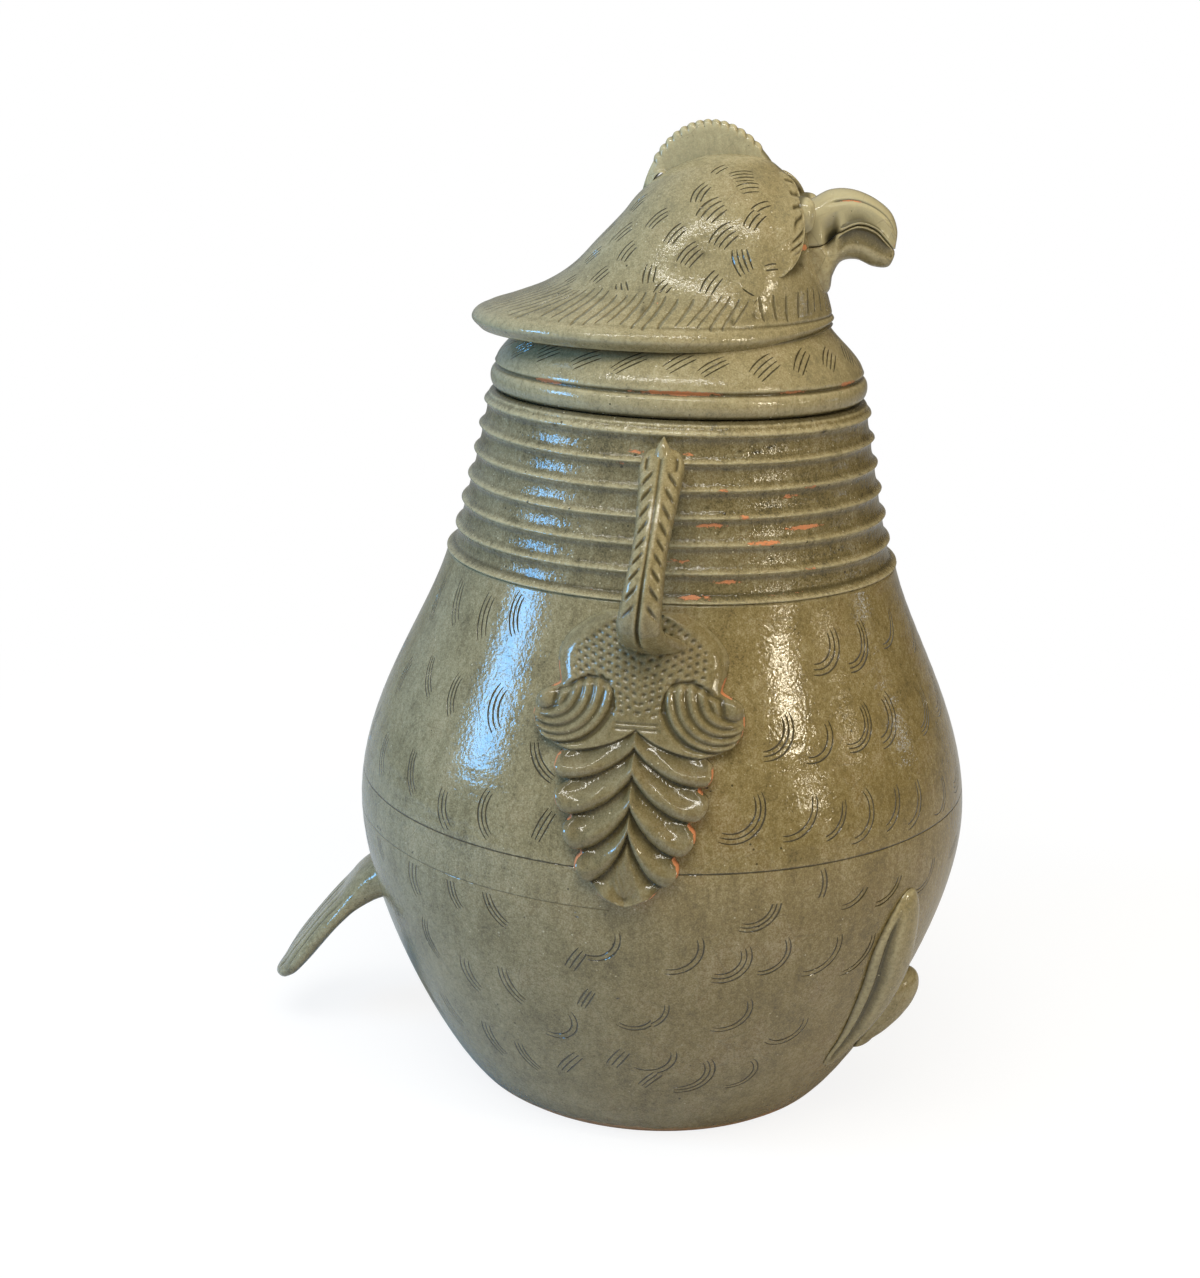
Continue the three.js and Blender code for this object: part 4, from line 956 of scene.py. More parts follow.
    # Painted shade darkens the skin between the ruffs and the face and a pit under each eye, which has no
    # hollow of its own; a few small spots are darkened too.
    round_face = np.abs((angle + math.pi) % TURN - math.pi)[None, :]
    ahead = knots(FACE_EDGE, heights)[:, None] - round_face
    pooled = smooth(ahead, -0.03, 0.02) * (1 - smooth(ahead, 0.1, 0.35))
    pooled = 0.85 * pooled * (smooth(heights, 19, 23) * (1 - smooth(heights, 52, 55)))[:, None]
    shade = np.zeros(points.shape[:2])
    shade[:len(heights)] = pooled
    pits = [(32, c + 24.5, 4, 1.1), (75, c + 28, 1.2, 0.8), (98, c + 9, 0.9, 1.2), (57, c + 8, 0.8, 1.2),
            (66, c + 6, 0.8, 1.2), (135, c + 30, 0.8, 1.1)]
    make_piece("head_hood_clay", points, "head_hood", "lid", strokes=strokes, lines=fringe,
               shade=np.maximum(shade, spot_bells(points, pits, 1.5)), wear=spot_bells(points, spots, 1.6),
               finish="lid_celadon")


def cut_crest(m):
    """Crest: an upright blade between the head and an arch, whose edge is scalloped and rounded."""
    top = m.collar_top + m.head_height
    rise = 10.8
    arch = bezier([(-16.5, m.collar_top + 47), (-10, top + rise * 1.26), (15, top + rise * 2),
                   (33, m.collar_top + 56)], 400)
    t = np.linspace(0, 1, 400)
    inside = np.clip((t - 0.14) / 0.76, 0, 1)
    scallop = 0.62 * np.abs(np.sin(math.pi * inside * m.teeth)) * (inside > 0) * (inside < 1)
    tangent = np.gradient(arch, axis=0)
    tangent /= np.linalg.norm(tangent, axis=1)[:, None]
    normal = np.stack([-tangent[:, 1], tangent[:, 0]], 1)
    edge = arch + normal * (scallop - 0.15)[:, None]
    forward = np.linspace(-14.6, 31.5, 400)
    buried = knots([(-15, 0), (-14, 46), (-3, 53), (8, 57), (17, 58.5), (27, 56), (32, 50)], forward)
    foot = np.stack([forward, buried + m.collar_top - 1.5], 1)
    k = np.linspace(0, 1, 22)[None, :, None]
    side = foot[:, None] * (1 - k) + edge[:, None] * k
    height = np.linalg.norm(edge - foot, axis=1)[:, None]
    low = (1 - k[..., 0]) * np.maximum(height, 2)
    notch = 0.45 * (1 - np.abs(np.sin(math.pi * inside * m.teeth)))[:, None] ** 2 * smooth(low, 2.4, 0.4)
    half = (2.7 - 0.9 * k[..., 0] + 2.2 * (1 - k[..., 0]) ** 7) * np.sqrt(np.clip((low + 0.25) / 2.2, 0, 1))
    half = half - 0.7 * notch * (inside > 0)[:, None]
    ends = smooth(t, 0, 0.04)[:, None] * (1 - smooth(t, 0.955, 1.0))[:, None]
    half = np.maximum(half, 0.2) * np.maximum(ends, 0.05)
    right = np.stack([-half, -side[..., 0], side[..., 1]], -1)
    left = right[:, ::-1] * (-1, 1, 1)
    points = np.concatenate([right, left], 1)
    # Painted shade darkens the notches between the teeth, the deepest of it to the iron colour.
    shade = np.concatenate([notch, notch[:, ::-1]], 1) * (inside > 0)[:, None] * 1.8
    make_piece("crest_blade", points, "crest", "lid", shade=shade, finish="pale_celadon")


def head_normal(m, angle, h):
    """Outward unit normal of the head's skin."""
    e = 0.02
    along = head_point(m, angle + e, h) - head_point(m, angle - e, h)
    up = head_point(m, angle, h + 0.5) - head_point(m, angle, h - 0.5)
    n = np.cross(up, along)
    n /= np.linalg.norm(n, axis=-1, keepdims=True)
    return np.where(n[..., :1] > 0, -n, n)


def model_ruffs(m):
    """Ruffs: rims round the corners of the face that rise out of the head's skin, roll over a lip towards
    the face, and carry short soft grooves behind the lip."""
    rows, across, under = 170, 72, 8
    v = np.linspace(0.004, 0.996, rows)[:, None]
    h = 55.5 + (20.5 - 55.5) * v
    front = knots(FACE_EDGE, h)
    back = knots([(20.5, 1.0), (25, 1.1), (31, 1.14), (40, 1.12), (48, 1.0), (53, 0.84), (55.5, 0.62)], h)
    taper = np.sin(math.pi * v) ** 0.45
    c = np.concatenate([np.linspace(0, 1, across) ** 1.25, np.linspace(1, 0, under + 2)[1:-1]])[None, :]
    top = (np.arange(across + under) < across)[None, :]
    angle = front + (back - front) * c * (0.25 + 0.75 * taper)
    wide = 26 * c * (0.25 + 0.75 * taper)
    along = v * 35 + wide * (0.25 - 0.75 * smooth(v, 0.1, 0.7))
    from_middle = np.abs((along / 3.5 + 0.12 * np.sin(v * 17)) % 1 - 0.5) * 3.5
    grooved = (smooth(wide, 1.2, 2.4) * (1 - smooth(wide, 6.5, 9.5)) * smooth(v, 0.04, 0.1)
               * (1 - smooth(v, 0.72, 0.84)))
    lip = np.clip(wide / 1.3, 0, 1)
    swell = 3.1 * taper * (1 - smooth(c, 0.04, 0.95)) * np.sqrt(np.maximum(1 - (1 - lip) ** 2, 0))
    swell = swell - 0.85 * np.exp(-(from_middle / 0.7) ** 2) * grooved * taper
    lift = np.where(top, swell - 0.22 * smooth(c, 0.2, 0.9), -0.9)
    points = head_point(m, angle, h) + head_normal(m, angle, h) * lift[..., None]
    worn = 0.95 * np.exp(-((h - 27.5) / 1.3) ** 2) * np.exp(-((wide - 0.3) / 0.8) ** 2)
    worn = worn + 0.72 * np.exp(-(from_middle / 0.9) ** 2) * grooved * np.exp(-((v - 0.42) / 0.07) ** 2)
    worn = worn * top
    # Painted shade darkens the front of the lip and the underside.
    shade = np.where(top, 0.6 * np.exp(-(wide / 0.35) ** 2), 0.9)
    for side, flip in (("right", False), ("left", True)):
        make_piece(f"ruff_{side}", points, f"face_ruff_{side}", "lid", wear=worn, shade=shade, flip=flip,
                   finish="lid_celadon")


def model_eyes(m):
    """Eyes: upright oval bosses beside the beak's root, an outline turned about an axis that looks forward,
    narrowed sideways, with a faint ridge down the middle."""
    outline = np.array([(0.2, -3.6), (4, -3.6), (6.2, -3.3), (6.6, -0.6), (6.5, 1.4), (6.1, 2.9), (5.1, 4.2),
                        (3.6, 5.1), (1.9, 5.6), (0.2, 5.8)])
    r, z = drawn_line(outline, np.linspace(0, 1, 64)).T
    a = np.arange(96) / 96 * TURN
    local = np.stack(np.broadcast_arrays(0.78 * r[:, None] * np.cos(a), r[:, None] * np.sin(a),
                                         z[:, None]), -1)
    ridge_line = 0.35 * np.exp(-((local[..., 0] - 1.2) / 0.8) ** 2) * (local[..., 2] > 0)
    # Painted shade darkens the boss's foot where it meets the head.
    shade = 0.95 * smooth(local[..., 2], 2.4, 0.4)
    local[..., 2] += ridge_line - 0.35 * smooth(local[..., 2], 4.4, 5.6)
    forward = np.array([-math.sin(0.18), -math.cos(0.18), 0.0])
    side = np.cross(forward, (0, 0, 1))
    seat = head_point(m, np.array(0.25), np.array(41.0))
    at = np.array([-15.6, seat[1] + 0.6, m.collar_top + 41])
    points = at + local[..., :1] * side + local[..., 1:2] * np.array([0, 0, 1.0]) + local[..., 2:] * forward
    for name, flip in (("right", False), ("left", True)):
        make_piece(f"eye_boss_{name}", points, f"eye_{name}", "lid", shade=shade, flip=flip,
                   finish="pale_celadon")


def mandible(top, bottom, offset, scale, fullness, shape):
    """A mandible: power-curve rings between an upper and a lower line. Its sides are moved in or out by the
    shape, a function of the share along it and of the level from -1 at the bottom to 1 at the top."""
    rows, columns = 150, 128
    t = np.linspace(0, 1, rows)
    a, b = drawn_line(top, t), drawn_line(bottom, t)
    axis = a - b
    size = np.linalg.norm(axis, axis=1)[:, None]
    axis = axis / size
    middle = (a + b) / 2 + axis * offset / 2
    half = (size - abs(offset)) / 2
    width = knots([(0, 22), (0.3, 19), (0.6, 16), (0.85, 11.3), (1, 6.8)], t)[:, None] / 2 * scale
    ends = np.sqrt(np.clip(1 - (2 * t - 1) ** 24, 0.0004, 1))[:, None]
    angle = np.arange(columns)[None, :] / columns * TURN
    high, low = fullness
    full = np.where(np.cos(angle) > 0, high, low)
    level = power(np.cos(angle), 2 / full)
    y = half * level * ends
    x = width * power(np.sin(angle), 2 / full) * ends
    x = x + np.sign(x) * shape(t[:, None], level, half) * np.minimum(1, np.abs(x))
    s = middle[:, :1] + axis[:, :1] * y
    z = middle[:, 1:] + axis[:, 1:] * y
    return np.stack([-x, -s, z], -1), level, t, half


def model_beak(m):
    """Both mandibles, from their side lines. The upper one has a groove along it and a rolled lip over the
    mouth; the lower one has a lip of its own, and the mouth ends in a pit."""
    c = m.collar_top
    top = [(38, c + 42), (45.9, c + 46.1), (52.5, c + 49.7), (60, c + 50.2), (68.5, c + 47.4),
           (75.3, c + 42.2), (77.9, c + 36), (77.8, c + 30.2)]
    mouth = [(40, c + 29), (51.5, c + 30.2), (57, c + 34.6), (64, c + 37.9), (70, c + 36.4),
             (74.5, c + 32.2), (77.5, c + 28.9)]
    under = [(42, c + 6), (54.2, c + 12.8), (55.4, c + 18.8), (58.2, c + 24), (63.5, c + 25.1),
             (70, c + 22.8), (75.4, c + 22.9), (77.6, c + 26.4)]

    def line(level, half, at, wide):
        """1 on a line at a distance above the lower edge, fading over a width."""
        return np.exp(-(((level + 1) * half - at) / wide) ** 2)

    def upper(t, level, half):
        groove = (-0.8 * np.exp(-((level - 0.42) * half / 0.62) ** 2) * smooth(t, 0.24, 0.34)
                  * (1 - smooth(t, 0.86, 0.95)))
        lip = 0.65 * line(level, half, 0.6, 0.8) - 0.55 * line(level, half, 2.3, 0.8)
        pit = -5.4 * np.exp(-((t - 0.26) / 0.07) ** 4) * line(level, half, 0.3, 3.4)
        return groove + lip * smooth(t, 0.3, 0.42) * (1 - smooth(t, 0.9, 0.98)) + pit

    def lower(t, level, half):
        rise = (1 - level) * half
        lip = 0.6 * np.exp(-((rise - 0.8) / 0.8) ** 2) - 0.5 * np.exp(-((rise - 2.7) / 1.0) ** 2)
        pit = -4.6 * np.exp(-((t - 0.24) / 0.06) ** 4) * np.exp(-(rise / 2.4) ** 2)
        return (lip - 0.25) * smooth(t, 0.3, 0.42) * (1 - smooth(t, 0.9, 0.98)) + pit

    points, level, t, half = mandible(top, mouth, 0.03, 1, (2.3, 14.0), upper)
    t = t[:, None]
    # Painted shade darkens the pit at the mouth's end and the groove at the beak's root.
    shade = 1.05 * np.exp(-((t - 0.26) / 0.07) ** 4) * line(level, half, 0.4, 3.4)
    shade = np.maximum(shade, 0.8 * np.exp(-((t - 0.1) / 0.025) ** 2) * smooth(level, -0.7, -0.2))
    worn = np.exp(-((level - 0.42) * 11) ** 2) * np.exp(-((t - 0.44) / 0.13) ** 2)
    worn = worn + 0.9 * np.exp(-((t - 0.955) / 0.02) ** 2 - ((level - 0.1) / 0.3) ** 2)
    make_piece("beak_upper_clay", points, "beak_upper", "lid", wear=worn, shade=shade, finish="beak_celadon")
    points, level, t, half = mandible(mouth, under, -0.03, 0.97, (14.0, 2.4), lower)
    # Painted shade darkens the lower mandible's side of the pit.
    shade = 1.05 * np.exp(-((t[:, None] - 0.24) / 0.055) ** 4) * np.exp(-((1 - level) * half / 1.8) ** 2)
    make_piece("beak_lower_clay", points, "beak_lower", "lid", shade=shade, finish="lid_celadon")


# Pieces applied to the wall


def on_wall(m, azimuth, x, z, h):
    """Place on the wall: x along the girth towards the front, height z, standing out by h."""
    angle = azimuth - x / m.wall_radius(z)
    return around(angle, m.wall_radius(z) + uneven(angle, z) + h, z)


def relief_piece(m, name, node, azimuth, zs, middle, half, height, across, back, finish, shade, wear=None):
    """A relief on the wall, on both sides of the jar: rows down it, columns across its face and back again.

    Middle and half width are functions of the height z. Height over the wall, shade and wear are functions
    of the share c of the half width, the distance x along the girth and z.
    """
    c = np.concatenate([np.linspace(-1, 1, across), np.linspace(1, -1, back + 2)[1:-1]])[None, :]
    face = (np.arange(across + back) < across)[None, :]
    z = zs[:, None]
    x = middle(z) + half(z) * c
    h = np.where(face, height(c, x, z), 0.05)
    points = on_wall(m, azimuth, x, z, h)
    worn = None if wear is None else wear(c, x, z) * face
    dark = shade(c, x, z)
    for side, flip in (("right", False), ("left", True)):
        make_piece(f"{name}_{side}", points, f"{node}_{side}", "jar", wear=worn, shade=dark, flip=flip,
                   finish=finish)


# Half width of the plate by height.
PLATE_HALF = [(114, 0.4), (114.4, 3.5), (117, 9.2), (120.5, 12.4), (122.5, 15.9), (125.5, 17.9),
              (128.5, 17.8), (131, 16.4), (133, 20.4), (136, 22.6), (139.5, 22.8), (142.5, 20.8),
              (144.5, 24.4), (147, 26.2), (150.5, 26.4), (153.6, 23.4), (155.5, 26.3), (158, 27.4),
              (161, 27), (163.2, 25.2), (164.4, 29), (166, 32.6), (169, 35.8), (173, 37.2), (177, 37),
              (179.6, 35.9), (181.4, 33.2), (182.7, 30.2), (184, 28.8), (189, 30), (194.5, 30), (200, 26.6),
              (205, 20.5), (209, 13), (211.3, 8)]
# Seams between the lobes, from the spine to the edge, as (distance from the spine, height).
SEAMS = [((0, 172), (24.5, 163)), ((0, 166), (21, 154)), ((0, 157), (20.5, 142.5)), ((0, 147), (16.5, 131)),
         ((0, 138.5), (12.5, 120.5))]


# Distance by which the plate sits in front of the jar's side.
PLATE_FORWARD = 1.3


def pillow(distance, reach):
    """Quarter round: 0 at a border and 1 once the distance from it passes the reach."""
    d = np.clip(distance / reach, 0, 1)
    return np.sqrt(np.maximum(0, 1 - (1 - d) ** 2))


def seam_fall(share):
    """Share of its fall that a seam has made: steep at the spine, level near the edge."""
    s = np.clip(share, 0, 1.15)
    return 0.45 * s ** 0.55 + 0.55 * (1 - np.clip(1 - s, 0, 1) ** 2.2)


def plate_relief(m, c, x, z):
    """Height of the moulded plate over the wall.

    The shield is a dome with a broad smooth border and slanting rows of pits. Each wing is a fan of bent
    ribs: circles whose centre slides and whose radius shrinks from its inner border to its volute. Each lobe
    is a pillow between two seams that run down and out from the spine: a thick rolled lower edge, hollow
    above it.
    """
    ax = np.abs(x)
    border = (1 - np.abs(c)) * np.maximum(knots(PLATE_HALF, z), 1)
    # Shield
    u = (ax * math.cos(0.42) + z * math.sin(0.42)) / m.stipple_pitch * 1.12 + 0.14 * np.sin(z / 2.3 + x / 5)
    v = (z * math.cos(0.42) - ax * math.sin(0.42)) / (m.stipple_pitch * 0.72) + 0.12 * np.sin(x / 3.1)
    row = np.round(v)
    across = u + 0.5 * (row % 2)
    pit = np.hypot((across - np.round(across)) * m.stipple_pitch / 1.6, (v - row) * m.stipple_pitch * 0.72)
    field = smooth(border, 5.5, 8.5) * smooth(z, 174.5, 177.5)
    pits = smooth(pit, 1.0, 0.25) * field
    dome = 3.3 + 1.3 * np.exp(-((z - 196) / 15) ** 2) * np.cos(np.clip(ax / 30, 0, 1) * math.pi / 2)
    rim = 0.5 * np.exp(-((border - 6.5) / 3) ** 2) * smooth(z, 176, 184)
    rounding = knots([(170, 6), (184, 10), (200, 12), (209, 12)], z)
    shield = (dome + rim) * (0.12 + 0.88 * pillow(border, rounding))
    shield = shield - 0.5 * pits - 0.2 * field
    # Wings
    fx, fz = ax - 27, z - 184
    wide, slide, shrink = 19, 6, 13
    a = shrink ** 2 - slide ** 2
    b = 2 * wide * shrink - 2 * slide * fx
    root = np.sqrt(np.maximum(b * b - 4 * a * (wide ** 2 - fx * fx - fz * fz), 0))
    share = (b - root) / (2 * a)
    rib = 0.5 + 0.5 * np.cos(TURN * (5 * np.clip(share, 0, 1.2) - 0.5))
    wing_top = knots([(7, 176), (9, 184), (12, 186.6), (17, 187), (22, 185), (26, 182.4), (30, 182.5),
                      (34, 182), (40, 178)], ax)
    inner = share * wide
    wing = smooth(share, -0.03, 0.05) * smooth(wing_top - z, -0.6, 0.9)
    eye = np.hypot(ax - 33.0, z - 179.6)
    curl = smooth(eye, 6.2, 3.6)
    volute = 2.6 + 1.9 * np.cos(np.clip(eye / 4.8, 0, 1) * math.pi / 2)
    fan = 1.5 + 2.3 * pillow(inner, 4.2) * pillow(wing_top - z, 3.2) + 0.95 * (rib - 0.5)
    fan = fan * (1 - curl) + volute * curl - 0.8 * np.exp(-((eye - 5.2) / 0.8) ** 2)
    scroll = 0.6 + (fan - 0.2) * pillow(border, 3.2)
    gap = np.exp(-((inner + 0.6) / 0.9) ** 2) * smooth(wing_top - z, -2, 1) * (ax > 5)
    gap = np.maximum(gap, np.exp(-((z - wing_top - 0.2) / 0.9) ** 2) * smooth(ax, 9, 11)
                     * (1 - smooth(ax, 24, 29)))
    gap = np.maximum(gap, np.exp(-((z - 183) / 1.3) ** 2) * smooth(ax, 28, 30))
    upper = shield * (1 - wing) + scroll * wing
    upper = upper - 0.95 * gap * smooth(z, 164, 167)
    waist = np.exp(-((z - 173.6) / 0.5) ** 2) + np.exp(-((z - 171.9) / 0.5) ** 2)
    upper = upper - 0.45 * waist * smooth(8.5 - ax, 0, 2)
    # Lobes
    lines = [z0 + (zt - z0) * seam_fall(ax / xt) for (_, z0), (xt, zt) in SEAMS]
    lines.append(np.full_like(lines[0], 106.0))
    lobes = np.full_like(upper, 1.0)
    for k in range(5):
        high, low = lines[k], lines[k + 1]
        inside = (z <= high) & (z > low)
        lean = 0.8 - 0.3 * smooth(ax, 0, 6) * (1 - smooth(ax, 8, 18))
        below, over = np.maximum((z - low) * lean, 0.02), (high - z) * lean
        edge = (below ** -1.8 + np.maximum(border + 0.8, 0.02) ** -1.8) ** (-1 / 1.8)
        body = 4.7 * pillow(edge, 3.6) - 2.3 * smooth(edge, 2.7, 6.0)
        body = 0.6 + body * (0.36 + 0.64 * smooth(over, -0.8, 4.6))
        hatch = 0.045 * np.sin((ax * 1.25 - z * 0.45) / 0.34) * smooth(edge, 4.2, 5.6)
        lobes = np.where(inside, body + hatch, lobes)
    spine = np.exp(-(ax / 1.3) ** 2)
    lobes = lobes + 0.55 * spine * smooth(z, 122, 130)
    join = smooth(lines[0] - z, -0.4, 0.4) * (1 - wing)
    height = upper * (1 - join) + lobes * join
    rounding = knots([(186, 1.3), (198, 3.5), (208, 8)], z)
    return 0.06 + np.maximum(height, 0.5) * (0.06 + 0.94 * pillow(border, rounding))


def press_plates(m):
    """Plates under the handles."""
    zs = np.concatenate([[114.05], np.linspace(114.3, 209.0, 262), [209.25]])

    def half(z):
        closing = (z <= zs[0]) | (z >= zs[-1])
        return np.where(closing, 0.3, knots(PLATE_HALF, z))

    def worn(c, x, z):
        border = (1 - np.abs(c)) * half(z)
        edge = smooth(border, 2.2, 0.8) * smooth(ripple(z / 5 + np.sign(x) * 3, 5), -0.7, 0.2)
        return edge * np.where(z < 192, 1.1, 0.5)

    # Painted shade darkens the lobes, more in the hollows under each seam, and the rest of the plate a
    # little.
    def shade(c, x, z):
        hollows = [z0 + (zt - z0) * seam_fall(np.abs(x) / xt) - z for (_, z0), (xt, zt) in SEAMS]
        hollow = np.max([smooth(under, -0.2, 0.3) * smooth(under, 5.0, 0.8) for under in hollows], 0)
        return np.where(z < 186, 0.34 + 0.5 * hollow * (np.abs(x) < 25) * (z < 174), 0.2)

    def height(c, x, z):
        return plate_relief(m, c, x, z)

    azimuth = math.pi / 2 - PLATE_FORWARD / m.shoulder_radius
    relief_piece(m, "moulded_plate", "plate", azimuth, zs, np.zeros_like, half, height, 190, 12,
                 "handled_celadon", shade, worn)


def ridge(m, name, node, azimuth, top, bottom, width, rise, bend, full, furrow):
    """A rounded ridge down the wall, fullest where the sine of its falling share is and blunt at its lower
    end, with a furrow of a given depth down its outer side."""
    zs = np.linspace(top - 0.05, bottom + 0.05, 150)

    def share(z):
        return np.clip((top - z) / (top - bottom), 0.0004, 0.9996)

    def swell(z):
        return np.sin(math.pi * share(z) ** full)

    def middle(z):
        return knots(bend, share(z))

    def half(z):
        blunt = 0.66 * smooth(share(z), 0.3, 0.6) * np.sqrt(1 - np.clip((share(z) - 0.5) / 0.5, 0, 1) ** 6)
        return width / 2 * np.maximum(swell(z) ** 0.55, blunt)

    def dent(c, z):
        return (np.exp(-((c + 0.66) / 0.13) ** 2) * smooth(share(z), 0.05, 0.2)
                * (1 - smooth(share(z), 0.9, 0.99)))

    def height(c, x, z):
        crown = np.maximum(swell(z) ** 0.6, 0.5 * smooth(share(z), 0.5, 0.8))
        ends = np.sqrt(np.clip(1 - share(z) ** 14, 0, 1))
        return 0.08 + rise * crown * ends * np.clip(1 - c * c, 0, 1) ** 0.75 * (1 - furrow * dent(c, z))

    # Painted shade darkens the furrow and the ridge's edges along the wall.
    def shade(c, x, z):
        return np.maximum(0.9 * (furrow > 0) * dent(c, z), 0.7 * smooth(np.abs(c), 0.93, 1))

    relief_piece(m, name, node, math.radians(azimuth), zs, middle, half, height, 90, 8, "lid_celadon", shade)


def model_legs(m):
    """Legs and toes."""
    ridge(m, "leg_ridge", "leg", azimuth=32.6, top=106, bottom=26, width=27, rise=6.9,
          bend=[(0, -1), (0.25, -2.5), (0.5, 0.5), (0.75, 0.6), (1, -4)], full=0.85, furrow=0.45)
    ridge(m, "toe_ridge", "toe", azimuth=15.2, top=57, bottom=23, width=26, rise=8.7,
          bend=[(0, 1), (0.5, 0), (1, -4)], full=0.75, furrow=0)


def strap_path(m, t):
    """Middle line of a handle's strap as (distance from the axis, height)."""
    top, foot = m.handle_top, m.shoulder_height - 8.5
    out = m.shoulder_radius + HANDLE_REACH - 4
    wall = float(m.wall_radius(foot))
    edge = float(m.rib_edge(top))
    return drawn_line([(edge - 3, top + 1), (edge + 7, top - 6), (out - 10, m.shoulder_height + 24),
                       (out - 1.5, m.shoulder_height + 9), (out - 2, foot + 5), (wall + 6.2, foot - 3),
                       (wall - 2, foot - 7)], t)


# Place of the strap's middle along Y, by its share of the way down.
HANDLE_FORWARD = [(0, -3.7), (0.2, -4.0), (0.35, -3.2), (0.55, -1.9), (0.66, -1.3), (0.78, -2.4),
                  (0.88, -5.0), (1, -6.0)]


def pull_handles(m):
    """Handles: a leaf section with a midrib beside a groove, carried along the strap's line; oblique cuts
    run down and out from the midrib, and the foot flares onto the plate."""
    rows, columns = 300, 144
    t = np.linspace(0.03, 0.985, rows)
    line = strap_path(m, t)
    tangent = np.gradient(line, axis=0)
    tangent /= np.linalg.norm(tangent, axis=1)[:, None]
    out = np.stack([-tangent[:, 1], tangent[:, 0]], 1)
    out = np.where(out[:, :1] < 0, -out, out)
    ring = [(-1, -0.1), (-0.93, 0.3), (-0.74, 0.62), (-0.45, 0.82), (-0.2, 0.92), (0, 0.95), (0.2, 0.92),
            (0.45, 0.82), (0.74, 0.62), (0.93, 0.3), (1, -0.1), (0.84, -0.62), (0.45, -0.9), (0, -1),
            (-0.45, -0.9), (-0.84, -0.62)]
    loop = drawn_line(ring + [ring[0]], np.arange(columns) / columns)
    share = t[:, None]
    width = (knots([(0, 0.66), (0.06, 0.92), (0.13, 1.02), (0.22, 0.92), (0.34, 0.79), (0.5, 0.88),
                    (0.66, 1.0), (0.74, 1.1), (0.82, 1.34), (0.9, 1.56), (1, 1.7)], share) * HANDLE_WIDTH
             / 2)
    a, b = loop[None, :, 0], loop[None, :, 1]
    distance = np.cumsum(np.r_[0, np.linalg.norm(np.diff(line, axis=0), axis=1)])[:, None]
    outer = smooth(b, -0.1, 0.3)
    phase = (distance - np.abs(a) * 8.0 + 0.5 * np.sin(distance / 7)) / 5.8
    cuts = smooth(np.abs(phase % 1 - 0.5), 0.24, 0.0) * smooth(np.abs(a), 0.24, 0.5) * outer
    cuts = cuts * (1 - 0.8 * smooth(np.abs(a), 0.7, 0.86))
    cuts = cuts * smooth(distance, 8, 12) * (1 - smooth(distance, 56, 66))
    ear = (np.exp(-((np.abs(a) - 0.66) / 0.07) ** 2) * smooth(distance, 3, 5) * (1 - smooth(distance, 8, 11))
           * outer)
    deep = 0.3 + 0.7 * smooth(share, 0.35, 0.58)
    groove = (np.exp(-((a - 0.04) / 0.075) ** 2) * outer * smooth(share, 0.03, 0.08)
              * (1 - smooth(share, 0.68, 0.8)) * deep)
    midrib = np.exp(-((a + 0.2) / 0.2) ** 2) * outer * (1 - smooth(share, 0.7, 0.9))
    reach = b * 4 - 0.95 * cuts - 1.6 * groove + 0.45 * midrib - 0.8 * ear
    foot = smooth(share, 0.84, 0.97)
    reach = reach * (1 - 0.5 * foot)
    forward = knots(HANDLE_FORWARD, share)
    x = -(line[:, None, 0] + out[:, None, 0] * reach)
    z = line[:, None, 1] + out[:, None, 1] * reach
    y = a * width * (1 - 0.05 * cuts) + forward
    points = np.stack([x, y, z], -1)
    # Painted shade darkens the cuts, the groove and the strap's sides.
    shade = np.maximum(0.95 * cuts, 0.9 * groove) + 0.3 * smooth(np.abs(a), 0.8, 1.0)
    for side, flip in (("right", False), ("left", True)):
        make_piece(f"leaf_handle_{side}", points, f"handle_{side}", "jar", shade=shade, flip=flip,
                   finish="handled_celadon")
    top = m.handle_top
    profile = bezier([(2.9, -3.5), (3.0, 1.5), (2.5, 3.6), (0.05, 7)], 30)
    a = np.arange(48) / 48 * TURN
    cone = np.stack(np.broadcast_arrays(profile[:, :1] * np.cos(a), profile[:, :1] * np.sin(a),
                                        profile[:, 1:]), -1)
    lean = Matrix.Rotation(0.2, 3, "Y")
    cone = cone @ np.array(lean).T + np.array([-float(m.rib_edge(top)) - 2.4, -3.8, top])
    for side, flip in (("right", False), ("left", True)):
        make_piece(f"roll_tip_{side}", cone, f"handle_tip_{side}", "jar", flip=flip,
                   finish="handled_celadon")


